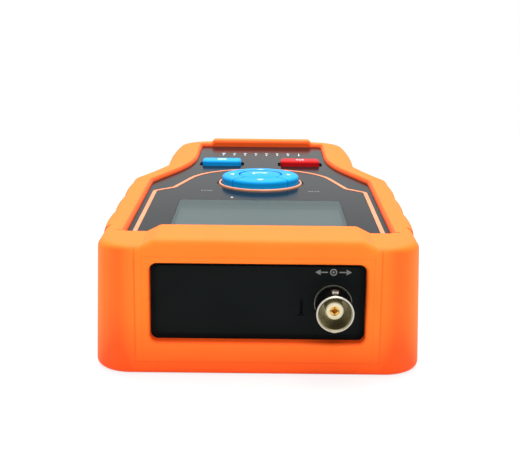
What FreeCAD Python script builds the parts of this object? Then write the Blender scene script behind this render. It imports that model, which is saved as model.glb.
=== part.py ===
# Handheld ethernet cable tester in a rubber boot, in millimetres.
# +Z is up through the face, -Y is the end with the coaxial jack, +X is to the right of that end.
# The origin is on the ground, under the middle of the whole length and width.
import FreeCAD, Part
import math
import os
import Sketcher
from collections import namedtuple
from types import SimpleNamespace
from FreeCAD import Placement, Rotation, Vector

# Places along the length, the names ending in _at, are distances from the boot's front face.
DRIVING = {
    # Rubber boot, outside
    "boot_length": 180.0,
    "boot_width": 86.2,
    "boot_height": 35.0,
    "boot_crown_round": 2.2,
    "boot_foot_round": 1.8,
    "grip_bulge": 0.55,
    "groove_first_at": 23.8,
    "groove_pitch": 22.1,
    "groove_round": 1.2,
    "shoulder_run": 6.3,
    "shoulder_swell": 0.15,
    "shoulder_round": 6.0,
    "waist_run": 28.0,
    "waist_width": 68.0,
    "waist_hollow": 0.5,
    "far_swell": 1.35,
    "far_width": 63.0,
    "far_corner_round": 14.0,
    # Rubber boot, front bumper
    "bumper_top_draw": 0.45,
    "bumper_foot_proud": 0.5,
    "bumper_corner_round": 10.0,
    # Rubber boot, walls and raised lips
    "boot_side_wall": 3.3,
    "boot_end_wall": 3.2,
    "boot_far_wall": 3.6,
    "boot_floor": 2.0,
    "boot_brow": 1.3,
    "boot_fit": 0.1,
    "lip_height": 1.9,
    "lip_foot_width": 60.6,
    "lip_top_width": 53.0,
    "lip_round": 2.0,
    "lip_end_round": 3.0,
    "far_lip_height": 1.3,
    "far_lip_foot_width": 41.0,
    "far_lip_top_width": 38.4,
    "far_lip_inset": 1.2,
    "far_lip_round": 1.8,
    "apron_width": 64.0,
    "apron_foot": 3.7,
    "apron_proud": 0.25,
    "apron_shoulder": 1.5,
    # Rubber boot, windows
    "rail_width": 6.7,
    "window_near_at": 17.6,
    "floor_window_near_at": 13.4,
    "window_edge_flat": 0.1,
    "corner_slit_length": 2.3,
    "corner_slit_width": 0.4,
    "window_shoulder_lead": 2.9,
    "window_shoulder_round": 8.0,
    "window_waist_lag": 3.6,
    "window_waist_round": 90.0,
    "window_door_gap": 0.5,
    "window_far_inset": 8.0,
    "window_corner_round": 1.5,
    "port_width": 56.5,
    "port_low": 9.1,
    "port_brow": 4.65,
    "port_round": 2.0,
    "port_edge_round": 1.0,
    "far_port_side": 7.55,
    "far_port_sill": 1.8,
    "far_port_head": 2.7,
    # Casings
    "case_wall": 2.2,
    "case_roof": 2.2,
    "case_floor": 2.2,
    "case_corner_round": 9.0,
    "case_shoulder_lag": 3.0,
    "case_shoulder_round": 6.0,
    "case_waist_lag": 4.6,
    "case_far_round": 8.0,
    "case_split": 20.2,
    "fit": 0.1,
    "loose": 0.2,
    "past": 1.0,
    "bond": 0.5,
    # End panels
    "panel_lap": 0.4,
    "panel_flange": 2.0,
    "panel_flange_thickness": 1.4,
    "panel_rib_thickness": 1.2,
    "panel_rib_depth": 3.0,
    "slot_offset": 8.25,
    "slot_low": 16.1,
    "slot_high": 20.0,
    "slot_width": 0.7,
    "slot_depth": 1.4,
    "slot_foot_width": 1.6,
    "slot_foot_height": 0.4,
    "slot_foot_depth": 0.5,
    "panel_border": 1.3,
    "panel_border_depth": 0.7,
    # Coaxial jack
    "jack_inset": 8.5,
    "jack_z": 19.5,
    "jack_reach": 7.8,
    "barrel_diameter": 9.65,
    "barrel_bore": 8.2,
    "barrel_bore_depth": 9.4,
    "barrel_mouth_chamfer": 0.25,
    "barrel_bore_flare": 0.3,
    "collar_diameter": 9.9,
    "collar_thickness": 1.2,
    "stem_diameter": 8.8,
    "stem_length": 9.5,
    "lug_diameter": 1.9,
    "lug_span": 11.0,
    "lug_setback": 2.9,
    "insulator_diameter": 4.7,
    "insulator_setback": 3.0,
    "insulator_tail": 0.8,
    "contact_diameter": 2.4,
    "contact_bore": 1.35,
    "contact_bore_depth": 4.8,
    "contact_setback": 0.2,
    "contact_slot": 0.3,
    "contact_slot_depth": 3.4,
    "contact_tail": 3.0,
    "washer_diameter": 12.6,
    "washer_thickness": 0.6,
    "nut_across_flats": 12.0,
    "nut_thickness": 2.4,
    "lead_diameter": 1.4,
    "lead_bend": 3.0,
    "lead_run": 7.0,
    # Face
    "overlay_thickness": 0.6,
    "overlay_gap": 0.15,
    "accent_width": 1.2,
    "accent_depth": 0.35,
    "accent_proud": 0.1,
    "accent_inset": 1.5,
    "accent_knee_lead": 16.2,
    "accent_knee_round": 3.0,
    "accent_hip_round": 1.0,
    "accent_arc_inset": 9.5,
    "accent_arc_lead": 1.5,
    # Display
    "lens_width": 50.3,
    "lens_near_at": 25.0,
    "lens_far_at": 65.2,
    "lens_thickness": 1.5,
    "lens_ledge": 0.6,
    "lcd_air": 0.2,
    "lcd_margin": 2.4,
    "lcd_lip": 0.3,
    "lcd_lip_reach": 1.4,
    "lcd_frame_wall": 1.2,
    "lcd_glass_thickness": 1.8,
    "backlight_thickness": 2.1,
    "backlight_setback": 2.0,
    "ribbon_width": 22.0,
    "ribbon_thickness": 0.25,
    "ribbon_run": 5.0,
    "ribbon_bond": 1.0,
    "connector_length": 3.4,
    "connector_height": 1.6,
    # Keys
    "pad_at": 94.0,
    "pad_diameter": 26.0,
    "pad_rise": 2.9,
    "pad_slope": 0.2,
    "pad_edge": 1.0,
    "pad_groove": 0.36,
    "enter_diameter": 14.0,
    "enter_edge": 0.5,
    "enter_dome": 0.3,
    "enter_flat_diameter": 4.0,
    "ring_width": 0.6,
    "ring_gap": 0.45,
    "ring_rise": 0.5,
    "ring_spigot": 0.5,
    "ring_moat": 0.65,
    "bar_width": 14.2,
    "bar_length": 7.0,
    "bar_x": 14.5,
    "bar_lead": 37.0,
    "bar_rise": 1.8,
    "bar_corner_round": 1.2,
    "bar_edge_round": 0.8,
    "bar_gap": 1.1,
    "key_flange": 1.6,
    "key_flange_thickness": 0.9,
    # Keypad mat
    "mat_width": 48.8,
    "mat_near_lead": 16.0,
    "mat_far_lead": 6.4,
    "mat_thickness": 0.9,
    "dome_height": 1.2,
    "dome_wall": 0.5,
    "dome_foot_diameter": 5.2,
    "dome_head_diameter": 3.6,
    "arrow_dome_radius": 10.2,
    # Main board
    "board_thickness": 1.6,
    "board_near_at": 14.5,
    "board_near_step_at": 20.5,
    "board_near_tongue_width": 52.0,
    "board_shoulder_lead": 2.0,
    "board_waist_lag": 0.6,
    "board_step_inset": 25.0,
    "board_far_inset": 8.8,
    "board_edge_gap": 2.1,
    "board_waist_gap": 2.9,
    "board_tongue_width": 34.4,
    "chip_size": 14.0,
    "chip_thickness": 1.4,
    "chip_at": 78.0,
    "driver_width": 10.0,
    "driver_length": 6.2,
    "driver_at": 60.0,
    "capacitor_diameter": 6.3,
    "capacitor_height": 4.0,
    "capacitor_x": 14.0,
    # Network socket
    "socket_width": 15.9,
    "socket_height": 13.4,
    "socket_length": 16.0,
    "socket_mouth_width": 11.8,
    "socket_mouth_height": 7.0,
    "socket_mouth_drop": 3.0,
    "socket_mouth_depth": 13.0,
    "socket_latch_width": 6.2,
    "socket_latch_height": 2.2,
    "contact_pitch": 1.02,
    "contact_strip_width": 0.46,
    "contact_strip_thickness": 0.35,
    "contact_strip_setback": 3.2,
    "contact_strip_length": 7.4,
    "contact_strip_drop": 2.1,
    # Batteries
    "cell_diameter": 14.3,
    "cell_gap": 0.7,
    "cell_length": 48.8,
    "cell_nub_diameter": 5.5,
    "cell_nub_length": 1.4,
    "cell_edge_round": 0.6,
    "bay_far_inset": 28.0,
    "bay_wall": 1.6,
    "bay_roof": 1.6,
    "bay_slack": 0.3,
    "plate_thickness": 0.4,
    "plate_size": 8.0,
    "leaf_reach": 3.4,
    "leaf_thickness": 0.3,
    "leaf_width": 5.0,
    "tail_width": 2.4,
    "tail_rise": 1.3,
    "battery_lead_diameter": 1.2,
    "battery_lead_bend": 0.9,
    "battery_lead_run": 6.0,
    # Battery door
    "door_thickness": 1.6,
    "door_lap": 0.7,
    "door_tab": 6.4,
    "door_gap": 0.25,
    "door_edge_round": 1.5,
    "door_grip_depth": 0.5,
    "door_grip_width": 18.0,
    "door_grip_pitch": 3.0,
    # Screws
    "case_screw_inset": 6.8,
    "case_screw_at": 16.5,
    "case_screw_far_side": 7.4,
    "case_screw_far_inset": 18.0,
    "case_screw_diameter": 2.4,
    "case_screw_head": 5.2,
    "case_screw_head_height": 1.8,
    "case_screw_bite": 8.0,
    "case_screw_seat": 8.0,
    "case_boss_wall": 1.2,
    "board_screw_x": 22.0,
    "board_screw_at": 17.6,
    "board_screw_far_x": 13.5,
    "board_screw_far_at": 146.0,
    "board_screw_diameter": 1.8,
    "board_screw_head": 3.8,
    "board_screw_head_height": 1.4,
    "board_screw_bite": 3.2,
    "door_screw_diameter": 2.2,
    "door_screw_head": 4.2,
    "door_screw_head_height": 1.0,
    "door_screw_length": 7.0,
    "door_boss_wall": 1.1,
}


class Size:
    """A length with its value and its formula in the sheet."""

    def __init__(self, value, formula):
        self.value = value
        self.formula = formula

    def __add__(self, other):
        other = as_size(other)
        return Size(self.value + other.value, f"({self.formula} + {other.formula})")

    def __sub__(self, other):
        other = as_size(other)
        return Size(self.value - other.value, f"({self.formula} - {other.formula})")

    def __mul__(self, other):
        other = as_size(other)
        return Size(self.value * other.value, f"({self.formula} * {other.formula})")

    def __truediv__(self, other):
        other = as_size(other)
        return Size(self.value / other.value, f"({self.formula} / {other.formula})")

    def __neg__(self):
        return Size(-self.value, f"(0 - {self.formula})")

    def __radd__(self, other):
        return as_size(other) + self

    def __rsub__(self, other):
        return as_size(other) - self

    def __rmul__(self, other):
        return as_size(other) * self


def as_size(number):
    return number if isinstance(number, Size) else Size(float(number), str(float(number)))


doc = FreeCAD.newDocument("cable_tester")
sheet = doc.addObject("Spreadsheet::Sheet", "sizes")
for row, (name, value) in enumerate(DRIVING.items(), 1):
    sheet.set(f"A{row}", name)
    sheet.set(f"B{row}", str(value))
    sheet.setAlias(f"B{row}", name)
doc.recompute()
d = SimpleNamespace(**{name: Size(float(sheet.get(name)), f"sizes.{name}") for name in DRIVING})

# Tools for drawing and joining
Corner = namedtuple("Corner", "x y radius bulge")
SAME_PLACE = 1e-4
QUARTER_TURN = 90
UP = Rotation()
TOWARDS_FRONT = Rotation(Vector(1, 0, 0), QUARTER_TURN)
TOWARDS_FAR = Rotation(Vector(1, 0, 0), -QUARTER_TURN)
DOWN = Rotation(Vector(1, 0, 0), QUARTER_TURN * 2)
DIAGONAL = 0.5**0.5
QUARTER_SWELL = 1 - DIAGONAL
HEXAGON_POINT = 2 / 3**0.5
ACCENT_FLANK = math.radians(15)
GRIP_GROOVES = 4
CELLS = 3
SOCKET_CONTACTS = 8
ARROWS = {"up_key": (0, -1), "right_key": (-1, 0), "down_key": (0, 1), "left_key": (1, 0)}
nodes = []


def corner(x, y, radius=None, bulge=None):
    """A corner of an outline; bulge swells the edge that arrives at it, to the right of its way."""
    return Corner(as_size(x), as_size(y), radius, bulge)


def mirrored(right, far_swell=None):
    """The outline of a shape that is the same on both sides, from its right side, front to far."""
    left = []
    for index in reversed(range(len(right))):
        swell = right[index + 1].bulge if index + 1 < len(right) else far_swell
        left.append(corner(-right[index].x, right[index].y, right[index].radius, swell))
    return right + left


def rectangle(x, y, radius=None):
    return [
        corner(x[0], y[0], radius),
        corner(x[1], y[0], radius),
        corner(x[1], y[1], radius),
        corner(x[0], y[1], radius),
    ]


def across(width, middle=0.0):
    return (middle - width / 2, middle + width / 2)


def bind(item, path, length):
    item.setExpression(path, as_size(length).formula)


def place(item, x, y, z, turn=UP):
    item.Placement = Placement(Vector(), turn)
    bind(item, "Placement.Base.x", x)
    bind(item, "Placement.Base.y", y)
    bind(item, "Placement.Base.z", z)


def hold(sketch, kind, geometry, end, length):
    number = sketch.addConstraint(Sketcher.Constraint(kind, -1, 1, geometry, end, length.value))
    bind(sketch, f"Constraints[{number}]", length)


def draw(sketch, corners):
    """A closed outline, its corners held from the origin and its swelling edges by their radius."""
    ends = []
    swelling = []
    following = corners[1:] + corners[:1]
    for index, (this, after) in enumerate(zip(corners, following)):
        start = Vector(this.x.value, this.y.value, 0)
        stop = Vector(after.x.value, after.y.value, 0)
        if after.bulge is None:
            sketch.addGeometry(Part.LineSegment(start, stop), False)
            ends.append((1, 2))
            continue
        chord = stop - start
        right = Vector(chord.y, -chord.x, 0).normalize()
        sketch.addGeometry(Part.Arc(start, (start + stop) * 0.5 + right * after.bulge.value, stop), False)
        ends.append((1, 2) if after.bulge.value > 0 else (2, 1))
        swell = after.bulge if after.bulge.value > 0 else -after.bulge
        run = after.x - this.x
        rise = after.y - this.y
        swelling.append((index, ((run * run + rise * rise) / 4 + swell * swell) / (swell * 2)))
    for index in range(len(corners)):
        after = (index + 1) % len(corners)
        joint = Sketcher.Constraint("Coincident", index, ends[index][1], after, ends[after][0])
        sketch.addConstraint(joint)
    for index, this in enumerate(corners):
        hold(sketch, "DistanceX", index, ends[index][0], this.x)
        hold(sketch, "DistanceY", index, ends[index][0], this.y)
    for index, radius in swelling:
        number = sketch.addConstraint(Sketcher.Constraint("Radius", index, radius.value))
        bind(sketch, f"Constraints[{number}]", radius)


def sketch_on(body, role, lift):
    sketch = body.newObject("Sketcher::SketchObject", f"{body.Name}_outline")
    plane = next(feature for feature in body.Origin.OriginFeatures if feature.Role == role)
    sketch.AttachmentSupport = [(plane, "")]
    sketch.MapMode = "FlatFace"
    bind(sketch, "AttachmentOffset.Base.z", lift)
    return sketch


def in_outline(role, point):
    """A point as (along, up) in the outline's own plane, and its depth along the plane's normal."""
    if role == "XY_Plane":
        return point.x, point.y, point.z
    if role == "XZ_Plane":
        return point.x, point.z, -point.y
    return point.y, point.z, point.x


def round_edges(body, radius, wanted):
    base = body.Tip
    names = [f"Edge{number}" for number, edge in enumerate(base.Shape.Edges, 1) if wanted(edge)]
    if not names:
        raise ValueError(f"{body.Name} has no edge to round")
    rounding = body.newObject("PartDesign::Fillet", f"{body.Name}_rounding")
    rounding.Base = (base, names)
    bind(rounding, "Radius", radius)
    doc.recompute()


def form(name, corners, low, high, role="XY_Plane", crown=None, foot=None, sharp=None):
    """A solid of one outline, its upright corners, crown and foot rounded except at a sharp end."""
    low = as_size(low)
    high = as_size(high)
    body = doc.addObject("PartDesign::Body", name)
    sketch = sketch_on(body, role, low)
    draw(sketch, corners)
    pad = body.newObject("PartDesign::Pad", f"{name}_pad")
    pad.Profile = sketch
    bind(pad, "Length", high - low)
    doc.recompute()
    for formula in dict.fromkeys(this.radius.formula for this in corners if this.radius):
        group_of = [this for this in corners if this.radius and this.radius.formula == formula]

        def upright(edge):
            ends = [in_outline(role, vertex.Point) for vertex in edge.Vertexes]
            if len(ends) < 2 or abs(ends[0][2] - ends[1][2]) < SAME_PLACE:
                return False
            return any(
                all(abs(end[0] - this.x.value) + abs(end[1] - this.y.value) < SAME_PLACE for end in ends)
                for this in group_of
            )

        round_edges(body, group_of[0].radius, upright)
    for radius, level in ((crown, high), (foot, low)):
        if radius is not None:
            round_edges(
                body,
                radius,
                lambda edge: lies_at(edge, role, level.value) and not (sharp and sharp(edge)),
            )
    return body


def lies_at(edge, role, level):
    return all(abs(in_outline(role, vertex.Point)[2] - level) < SAME_PLACE for vertex in edge.Vertexes)


def turned(name, profile, x, y, z, turn=UP):
    """A solid turned from a profile of (radius, height) corners."""
    body = doc.addObject("PartDesign::Body", name)
    sketch = sketch_on(body, "XZ_Plane", 0)
    draw(sketch, profile)
    spin = body.newObject("PartDesign::Revolution", f"{name}_turning")
    spin.Profile = sketch
    spin.ReferenceAxis = (sketch, ["V_Axis"])
    spin.Angle = 360.0
    place(body, x, y, z, turn)
    doc.recompute()
    return body


def box(name, x, y, z):
    block = doc.addObject("Part::Box", name)
    for side, span in (("Length", x), ("Width", y), ("Height", z)):
        bind(block, side, as_size(span[1]) - span[0])
    place(block, x[0], y[0], z[0])
    return block


def rod(name, diameter, length, x, y, z, turn=UP):
    cylinder = doc.addObject("Part::Cylinder", name)
    bind(cylinder, "Radius", as_size(diameter) / 2)
    bind(cylinder, "Height", length)
    place(cylinder, x, y, z, turn)
    return cylinder


def joined(name, *pieces):
    union = doc.addObject("Part::MultiFuse", name)
    union.Shapes = list(pieces)
    union.Refine = True
    return union


def cut(name, base, *tools):
    hollow = doc.addObject("Part::Cut", name)
    hollow.Base = base
    hollow.Tool = tools[0] if len(tools) == 1 else joined(f"{name}_cutters", *tools)
    hollow.Refine = True
    return hollow


def shared(name, first, second):
    overlap = doc.addObject("Part::Common", name)
    overlap.Base = first
    overlap.Tool = second
    overlap.Refine = True
    return overlap


def set_of(name, pieces):
    """Several like solids, kept apart, as one piece."""
    together = doc.addObject("Part::Compound", name)
    together.Links = list(pieces)
    return together


def node(piece):
    nodes.append(piece)
    return piece


def lead(name, diameter, bend, start, heading, run, top):
    """A wire that runs level, on a heading turned from the far end, then bends up to a level."""
    x, y, z = start
    turn = Rotation(Vector(0, 0, 1), heading)
    way = turn.multVec(Vector(0, 1, 0))
    level_run = run - bend
    level = rod(f"{name}_level", diameter, level_run, x, y, z, turn * TOWARDS_FAR)
    elbow = doc.addObject("Part::Torus", f"{name}_elbow")
    elbow.Angle3 = QUARTER_TURN
    bind(elbow, "Radius1", bend)
    bind(elbow, "Radius2", diameter / 2)
    elbow_turn = turn * Rotation(Vector(0, 1, 0), QUARTER_TURN)
    place(elbow, x + level_run * round(way.x), y + level_run * round(way.y), z + bend, elbow_turn)
    foot = (x + run * round(way.x), y + run * round(way.y), z + bend)
    upright = rod(f"{name}_upright", diameter, top - foot[2], *foot)
    return joined(name, level, elbow, upright)


# Levels and places that several pieces share
front = -(d.boot_length - d.jack_reach) / 2
back = front + d.boot_length
rim = d.boot_height
groove_last = front + d.groove_first_at + d.groove_pitch * (GRIP_GROOVES - 1)
shoulder = groove_last + d.shoulder_run
waist = shoulder + d.waist_run
case_low = d.boot_floor
case_high = rim - d.boot_brow
case_near = front + d.boot_end_wall
case_far = back - d.boot_far_wall
roof_under = case_high - d.case_roof
floor_over = case_low + d.case_floor
face = case_high
overlay_under = face - d.overlay_thickness
lcd_high = roof_under - d.lcd_air
glass_high = lcd_high - d.lcd_lip
glass_low = glass_high - d.lcd_glass_thickness
board_high = glass_low - d.backlight_thickness
board_low = board_high - d.board_thickness
mat_high = board_high + d.mat_thickness
key_low = mat_high + d.dome_height
window_side = d.boot_width / 2 - d.rail_width
window_far = back - d.window_far_inset
port_high = rim - d.port_brow
jack_x = d.port_width / 2 - d.jack_inset
pad_y = front + d.pad_at
bar_y = pad_y + d.bar_lead


def boot_blank():
    """The boot's grips behind the bumper: bumps along the sides, a waist and a swelling far end."""
    side = d.boot_width / 2
    near = front + d.groove_first_at
    right = [corner(side, near)]
    for number in range(1, GRIP_GROOVES):
        right.append(corner(side, near + d.groove_pitch * number, d.groove_round, d.grip_bulge))
    right += [
        corner(side, shoulder, d.shoulder_round, d.shoulder_swell),
        corner(d.waist_width / 2, waist, d.groove_round, -d.waist_hollow),
        corner(d.far_width / 2, back, d.far_corner_round, d.far_swell),
    ]
    near_end = near.value + SAME_PLACE
    return form(
        "boot_blank",
        mirrored(right),
        0,
        rim,
        crown=d.boot_crown_round,
        foot=d.boot_foot_round,
        sharp=lambda edge: edge.BoundBox.YMax < near_end,
    )


def front_bumper():
    """The boot's front end, wider at its foot, that ends in the first groove."""
    side = d.boot_width / 2
    far = front + d.groove_first_at + d.bond
    right = [corner(side + d.bumper_foot_proud, 0), corner(side - d.bumper_top_draw, rim)]
    body = upright_form("front_bumper", mirrored(right), front, far)
    nose = -front.value
    far_end = far.value - SAME_PLACE
    rise = rim.value - SAME_PLACE

    def on_corner(edge):
        return lies_at(edge, "XZ_Plane", nose) and edge.BoundBox.ZLength > rise

    def on_crown(edge):
        return edge.BoundBox.ZMin > rise and edge.BoundBox.YMin < far_end

    def on_foot(edge):
        return edge.BoundBox.ZMax < SAME_PLACE and edge.BoundBox.YMin < far_end

    round_edges(body, d.bumper_corner_round, on_corner)
    round_edges(body, d.boot_crown_round, on_crown)
    round_edges(body, d.boot_foot_round, on_foot)
    return body


def case_form(name, grow, low, high):
    """The casings' outline, grown or shrunk all round, between two levels."""
    side = d.boot_width / 2 - d.boot_side_wall + grow
    slim = d.waist_width / 2 - d.boot_side_wall + grow
    far_side = d.far_width / 2 - d.boot_side_wall + grow
    right = [
        corner(side, case_near - grow, d.case_corner_round + grow),
        corner(side, shoulder + d.case_shoulder_lag, d.case_shoulder_round + grow),
        corner(slim, waist + d.case_waist_lag),
        corner(far_side, case_far + grow, d.case_far_round + grow),
    ]
    return form(name, mirrored(right), low, high)


def window_form(name, inset, low, high, near_at=d.window_near_at):
    """The boot's window over the face, drawn in by an inset, between two levels."""
    wide = window_side - inset
    slim = door_width / 2 + d.window_door_gap - inset
    right = [
        corner(wide, front + near_at + inset, d.window_corner_round),
        corner(wide, shoulder - d.window_shoulder_lead, d.window_shoulder_round),
        corner(slim, waist + d.window_waist_lag, d.window_waist_round),
        corner(slim, window_far - inset, d.window_corner_round),
    ]
    return form(name, mirrored(right), low, high)


def upright_form(name, corners, near, far, **rounds):
    """A solid of an outline that stands across the length, between two places along it."""
    return form(name, corners, -as_size(far), -as_size(near), "XZ_Plane", **rounds)


def apron():
    """The boot's flat front apron, a little proud, that rises into the raised near lip."""
    right = [
        corner(d.apron_width / 2, d.apron_foot),
        corner(d.apron_width / 2, rim - d.apron_shoulder),
        corner(d.lip_foot_width / 2, rim, d.lip_end_round),
        corner(d.lip_top_width / 2, rim + d.lip_height, d.lip_end_round),
    ]
    body = upright_form("apron", mirrored(right), front - d.apron_proud, front + d.window_near_at + d.bond)
    nose = -(front - d.apron_proud).value
    high = (rim - d.apron_shoulder).value - SAME_PLACE
    round_edges(
        body,
        d.lip_round,
        lambda edge: lies_at(edge, "XZ_Plane", nose) and edge.BoundBox.ZMin > high,
    )
    return body


def far_lip():
    right = [
        corner(d.far_lip_foot_width / 2, rim - d.boot_brow),
        corner(d.far_lip_foot_width / 2, rim),
        corner(d.far_lip_top_width / 2, rim + d.far_lip_height),
    ]
    body = upright_form("far_lip", mirrored(right), window_far - d.bond, back - d.far_lip_inset)
    edge_at = -(back - d.far_lip_inset)
    low = rim.value - SAME_PLACE
    round_edges(
        body,
        d.far_lip_round,
        lambda edge: lies_at(edge, "XZ_Plane", edge_at.value) and edge.BoundBox.ZMin > low,
    )
    return body


def corner_slits():
    """Short slits in the rim that run outwards from the window's near corners."""
    near = front + d.window_near_at
    reach = (window_side - d.past, window_side + d.corner_slit_length)
    sides = (reach, (-reach[1], -reach[0]))
    depth = (near, near + d.corner_slit_width)
    return [
        box(f"corner_slit_{number}", side, depth, (case_high, rim + d.past))
        for number, side in enumerate(sides)
    ]


def rubber_boot():
    """The boot: its outside hollowed for the casings, with windows and ports and soft window edges."""
    outside = joined("boot_outside", boot_blank(), front_bumper(), apron(), far_lip())
    high = rim + d.lip_height + d.past
    port = upright_form(
        "boot_port",
        rectangle(across(d.port_width), (d.port_low, port_high), d.port_round),
        front - d.apron_proud - d.past,
        case_near + d.past,
    )
    far_port = upright_form(
        "boot_far_port",
        rectangle(across(far_port_width), (far_port_low, far_port_high), d.port_round),
        case_far - d.past,
        back + d.past,
    )
    shell = cut(
        "boot_shell",
        outside,
        case_form("boot_hollow", d.boot_fit, case_low, case_high),
        window_form("boot_window", as_size(0), case_low, high),
        window_form("floor_window", as_size(0), -d.past, case_low + d.past, d.floor_window_near_at),
        port,
        far_port,
    )
    soft = doc.addObject("PartDesign::Body", "soft_boot")
    soft.BaseFeature = shell
    doc.recompute()
    wide = window_side.value + SAME_PLACE
    near = (front + d.window_near_at).value - SAME_PLACE
    far = window_far.value + SAME_PLACE

    def on_window(edge):
        reach = edge.BoundBox
        inside = max(reach.XMax, -reach.XMin) < wide and reach.YMin > near and reach.YMax < far
        return inside and reach.ZMin > rim.value - SAME_PLACE

    nose = (front - d.apron_proud).value + SAME_PLACE
    port_side = (d.port_width / 2).value + SAME_PLACE

    def on_port(edge):
        reach = edge.BoundBox
        within = max(reach.XMax, -reach.XMin) < port_side and reach.ZMax < port_high.value + SAME_PLACE
        return within and reach.YMax < nose and reach.ZMin > d.port_low.value - SAME_PLACE

    round_edges(soft, d.boot_brow - d.window_edge_flat, on_window)
    round_edges(soft, d.port_edge_round, on_port)
    return node(cut("rubber_boot", soft, *corner_slits()))


def both_sides(x, y):
    return [(x, y), (-x, y)]


case_side = d.boot_width / 2 - d.boot_side_wall
case_far_side = d.far_width / 2 - d.boot_side_wall
case_spots = both_sides(case_side - d.case_screw_inset, front + d.case_screw_at)
case_spots += both_sides(case_far_side - d.case_screw_far_side, back - d.case_screw_far_inset)
board_spots = both_sides(d.board_screw_x, front + d.board_screw_at)
board_spots += both_sides(d.board_screw_far_x, front + d.board_screw_far_at)
case_seat = case_low + d.case_screw_seat
cell_pitch = d.cell_diameter + d.cell_gap
bay_width = cell_pitch * CELLS + d.bay_slack * 2
cell_whole = d.cell_length + d.cell_nub_length
bay_far = back - d.bay_far_inset
bay_near = bay_far - d.plate_thickness * 2 - d.leaf_reach - cell_whole - d.bay_slack * 2
bay_low = case_low + d.door_thickness + d.fit
cell_z = bay_low + d.bay_slack + d.cell_diameter / 2
bay_high = cell_z + d.cell_diameter / 2 + d.bay_slack
tail_high = bay_high + d.bay_roof + d.tail_rise
cell_spots = [cell_pitch * (number - (CELLS - 1) / 2) for number in range(CELLS)]
door_near = bay_near - d.door_tab
door_far = bay_far + d.door_tab
door_width = bay_width + d.door_lap * 2
door_spots = [bay_near - d.door_tab / 2, bay_far + d.door_tab / 2]
lens_near = front + d.lens_near_at
lens_far = front + d.lens_far_at
glass_width = d.lens_width + d.lcd_margin * 2
glass_near = lens_near - d.lcd_margin
glass_far = lens_far + d.lcd_margin
ring_bore = d.pad_diameter / 2 + d.ring_gap
flange_high = roof_under - d.loose
flange_low = flange_high - d.key_flange_thickness
panel_back = case_near + d.case_wall + d.fit + d.panel_flange_thickness
socket_low = board_low - d.socket_height
far_port_width = d.socket_width + d.far_port_side * 2
far_port_low = socket_low - d.far_port_sill
far_port_high = board_low + d.far_port_head
mouth_high = board_low - d.socket_mouth_drop
mouth_low = mouth_high - d.socket_mouth_height
jack_mouth = d.boot_end_wall + d.jack_reach
insulator_front = jack_mouth - d.insulator_setback
stem_end = -(d.stem_length + d.insulator_tail)
bar_spots = {"function_key": -d.bar_x, "power_key": d.bar_x}


def bar_opening(name, x, grow, low, high, crown=None):
    """The outline of a bar key, grown all round, between two levels."""
    outline = rectangle(
        across(d.bar_width + grow * 2, x),
        across(d.bar_length + grow * 2, bar_y),
        d.bar_corner_round + grow,
    )
    return form(name, outline, low, high, crown=crown)


def panel_opening(name, width, low, high, near):
    """The hole in a casing's end wall that the panel's face fills."""
    margin = d.panel_lap + d.fit
    return box(
        name,
        across(width + margin * 2),
        (near - d.past, near + d.case_wall + d.past),
        (low - margin, high + margin),
    )


def panel_ribs(name, width, near, low, high):
    """Two ribs that trap a panel's flange against the end wall."""
    edge = width / 2 + d.panel_lap + d.panel_flange
    span = (edge - d.panel_rib_depth, edge + d.panel_rib_depth / 2)
    sides = (span, (-span[1], -span[0]))
    return [
        box(f"{name}_{number}", side, (near, near + d.panel_rib_thickness), (low, high))
        for number, side in enumerate(sides)
    ]


rib_near = panel_back + d.fit
rib_far = case_far - d.case_wall - d.fit * 2 - d.panel_flange_thickness - d.panel_rib_thickness


def upper_casing():
    shell = cut(
        "upper_shell",
        case_form("upper_blank", as_size(0), d.case_split, case_high),
        case_form("upper_hollow", -d.case_wall, d.case_split - d.past, roof_under),
    )
    additions = panel_ribs("upper_rib", d.port_width, rib_near, d.case_split, roof_under + d.bond)
    additions += panel_ribs("upper_far_rib", far_port_width, rib_far, d.case_split, roof_under + d.bond)
    holes = []
    for number, (x, y) in enumerate(case_spots):
        boss = d.case_screw_diameter + d.case_boss_wall * 3
        height = roof_under + d.bond - d.case_split
        additions.append(rod(f"upper_boss_{number}", boss, height, x, y, d.case_split))
        holes.append(
            rod(
                f"upper_boss_hole_{number}",
                d.case_screw_diameter + d.fit,
                d.case_screw_bite + d.past * 2,
                x,
                y,
                d.case_split - d.past,
            )
        )
    for number, (x, y) in enumerate(board_spots):
        boss = d.board_screw_diameter + d.case_boss_wall * 2
        height = roof_under + d.bond - board_high
        additions.append(rod(f"board_boss_{number}", boss, height, x, y, board_high))
        holes.append(
            rod(
                f"board_boss_hole_{number}",
                d.board_screw_diameter + d.fit,
                d.board_screw_bite + d.bond + d.past,
                x,
                y,
                board_high - d.past,
            )
        )
    holes.append(window_form("overlay_recess", d.overlay_gap / 2, overlay_under, face + d.past))
    holes.append(
        box(
            "lens_seat",
            across(d.lens_width + d.fit * 2),
            (lens_near - d.fit, lens_far + d.fit),
            (face - d.lens_thickness, face + d.past),
        )
    )
    holes.append(
        box(
            "lens_hole",
            across(d.lens_width - d.lens_ledge * 2),
            (lens_near + d.lens_ledge, lens_far - d.lens_ledge),
            (roof_under - d.past, face),
        )
    )
    spigot = (ring_bore + d.ring_spigot + d.fit) * 2
    holes.append(rod("pad_hole", spigot, d.case_roof + d.past * 2, 0, pad_y, roof_under - d.past))
    for label, x in bar_spots.items():
        holes.append(bar_opening(f"{label}_casing_hole", x, d.bar_gap, roof_under - d.past, face + d.past))
    holes.append(panel_opening("upper_panel_hole", d.port_width, d.port_low, port_high, case_near))
    far_wall = case_far - d.case_wall
    holes.append(panel_opening("upper_far_hole", far_port_width, far_port_low, far_port_high, far_wall))
    node(cut("upper_casing", joined("upper_solid", shell, *additions), *holes))


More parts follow.
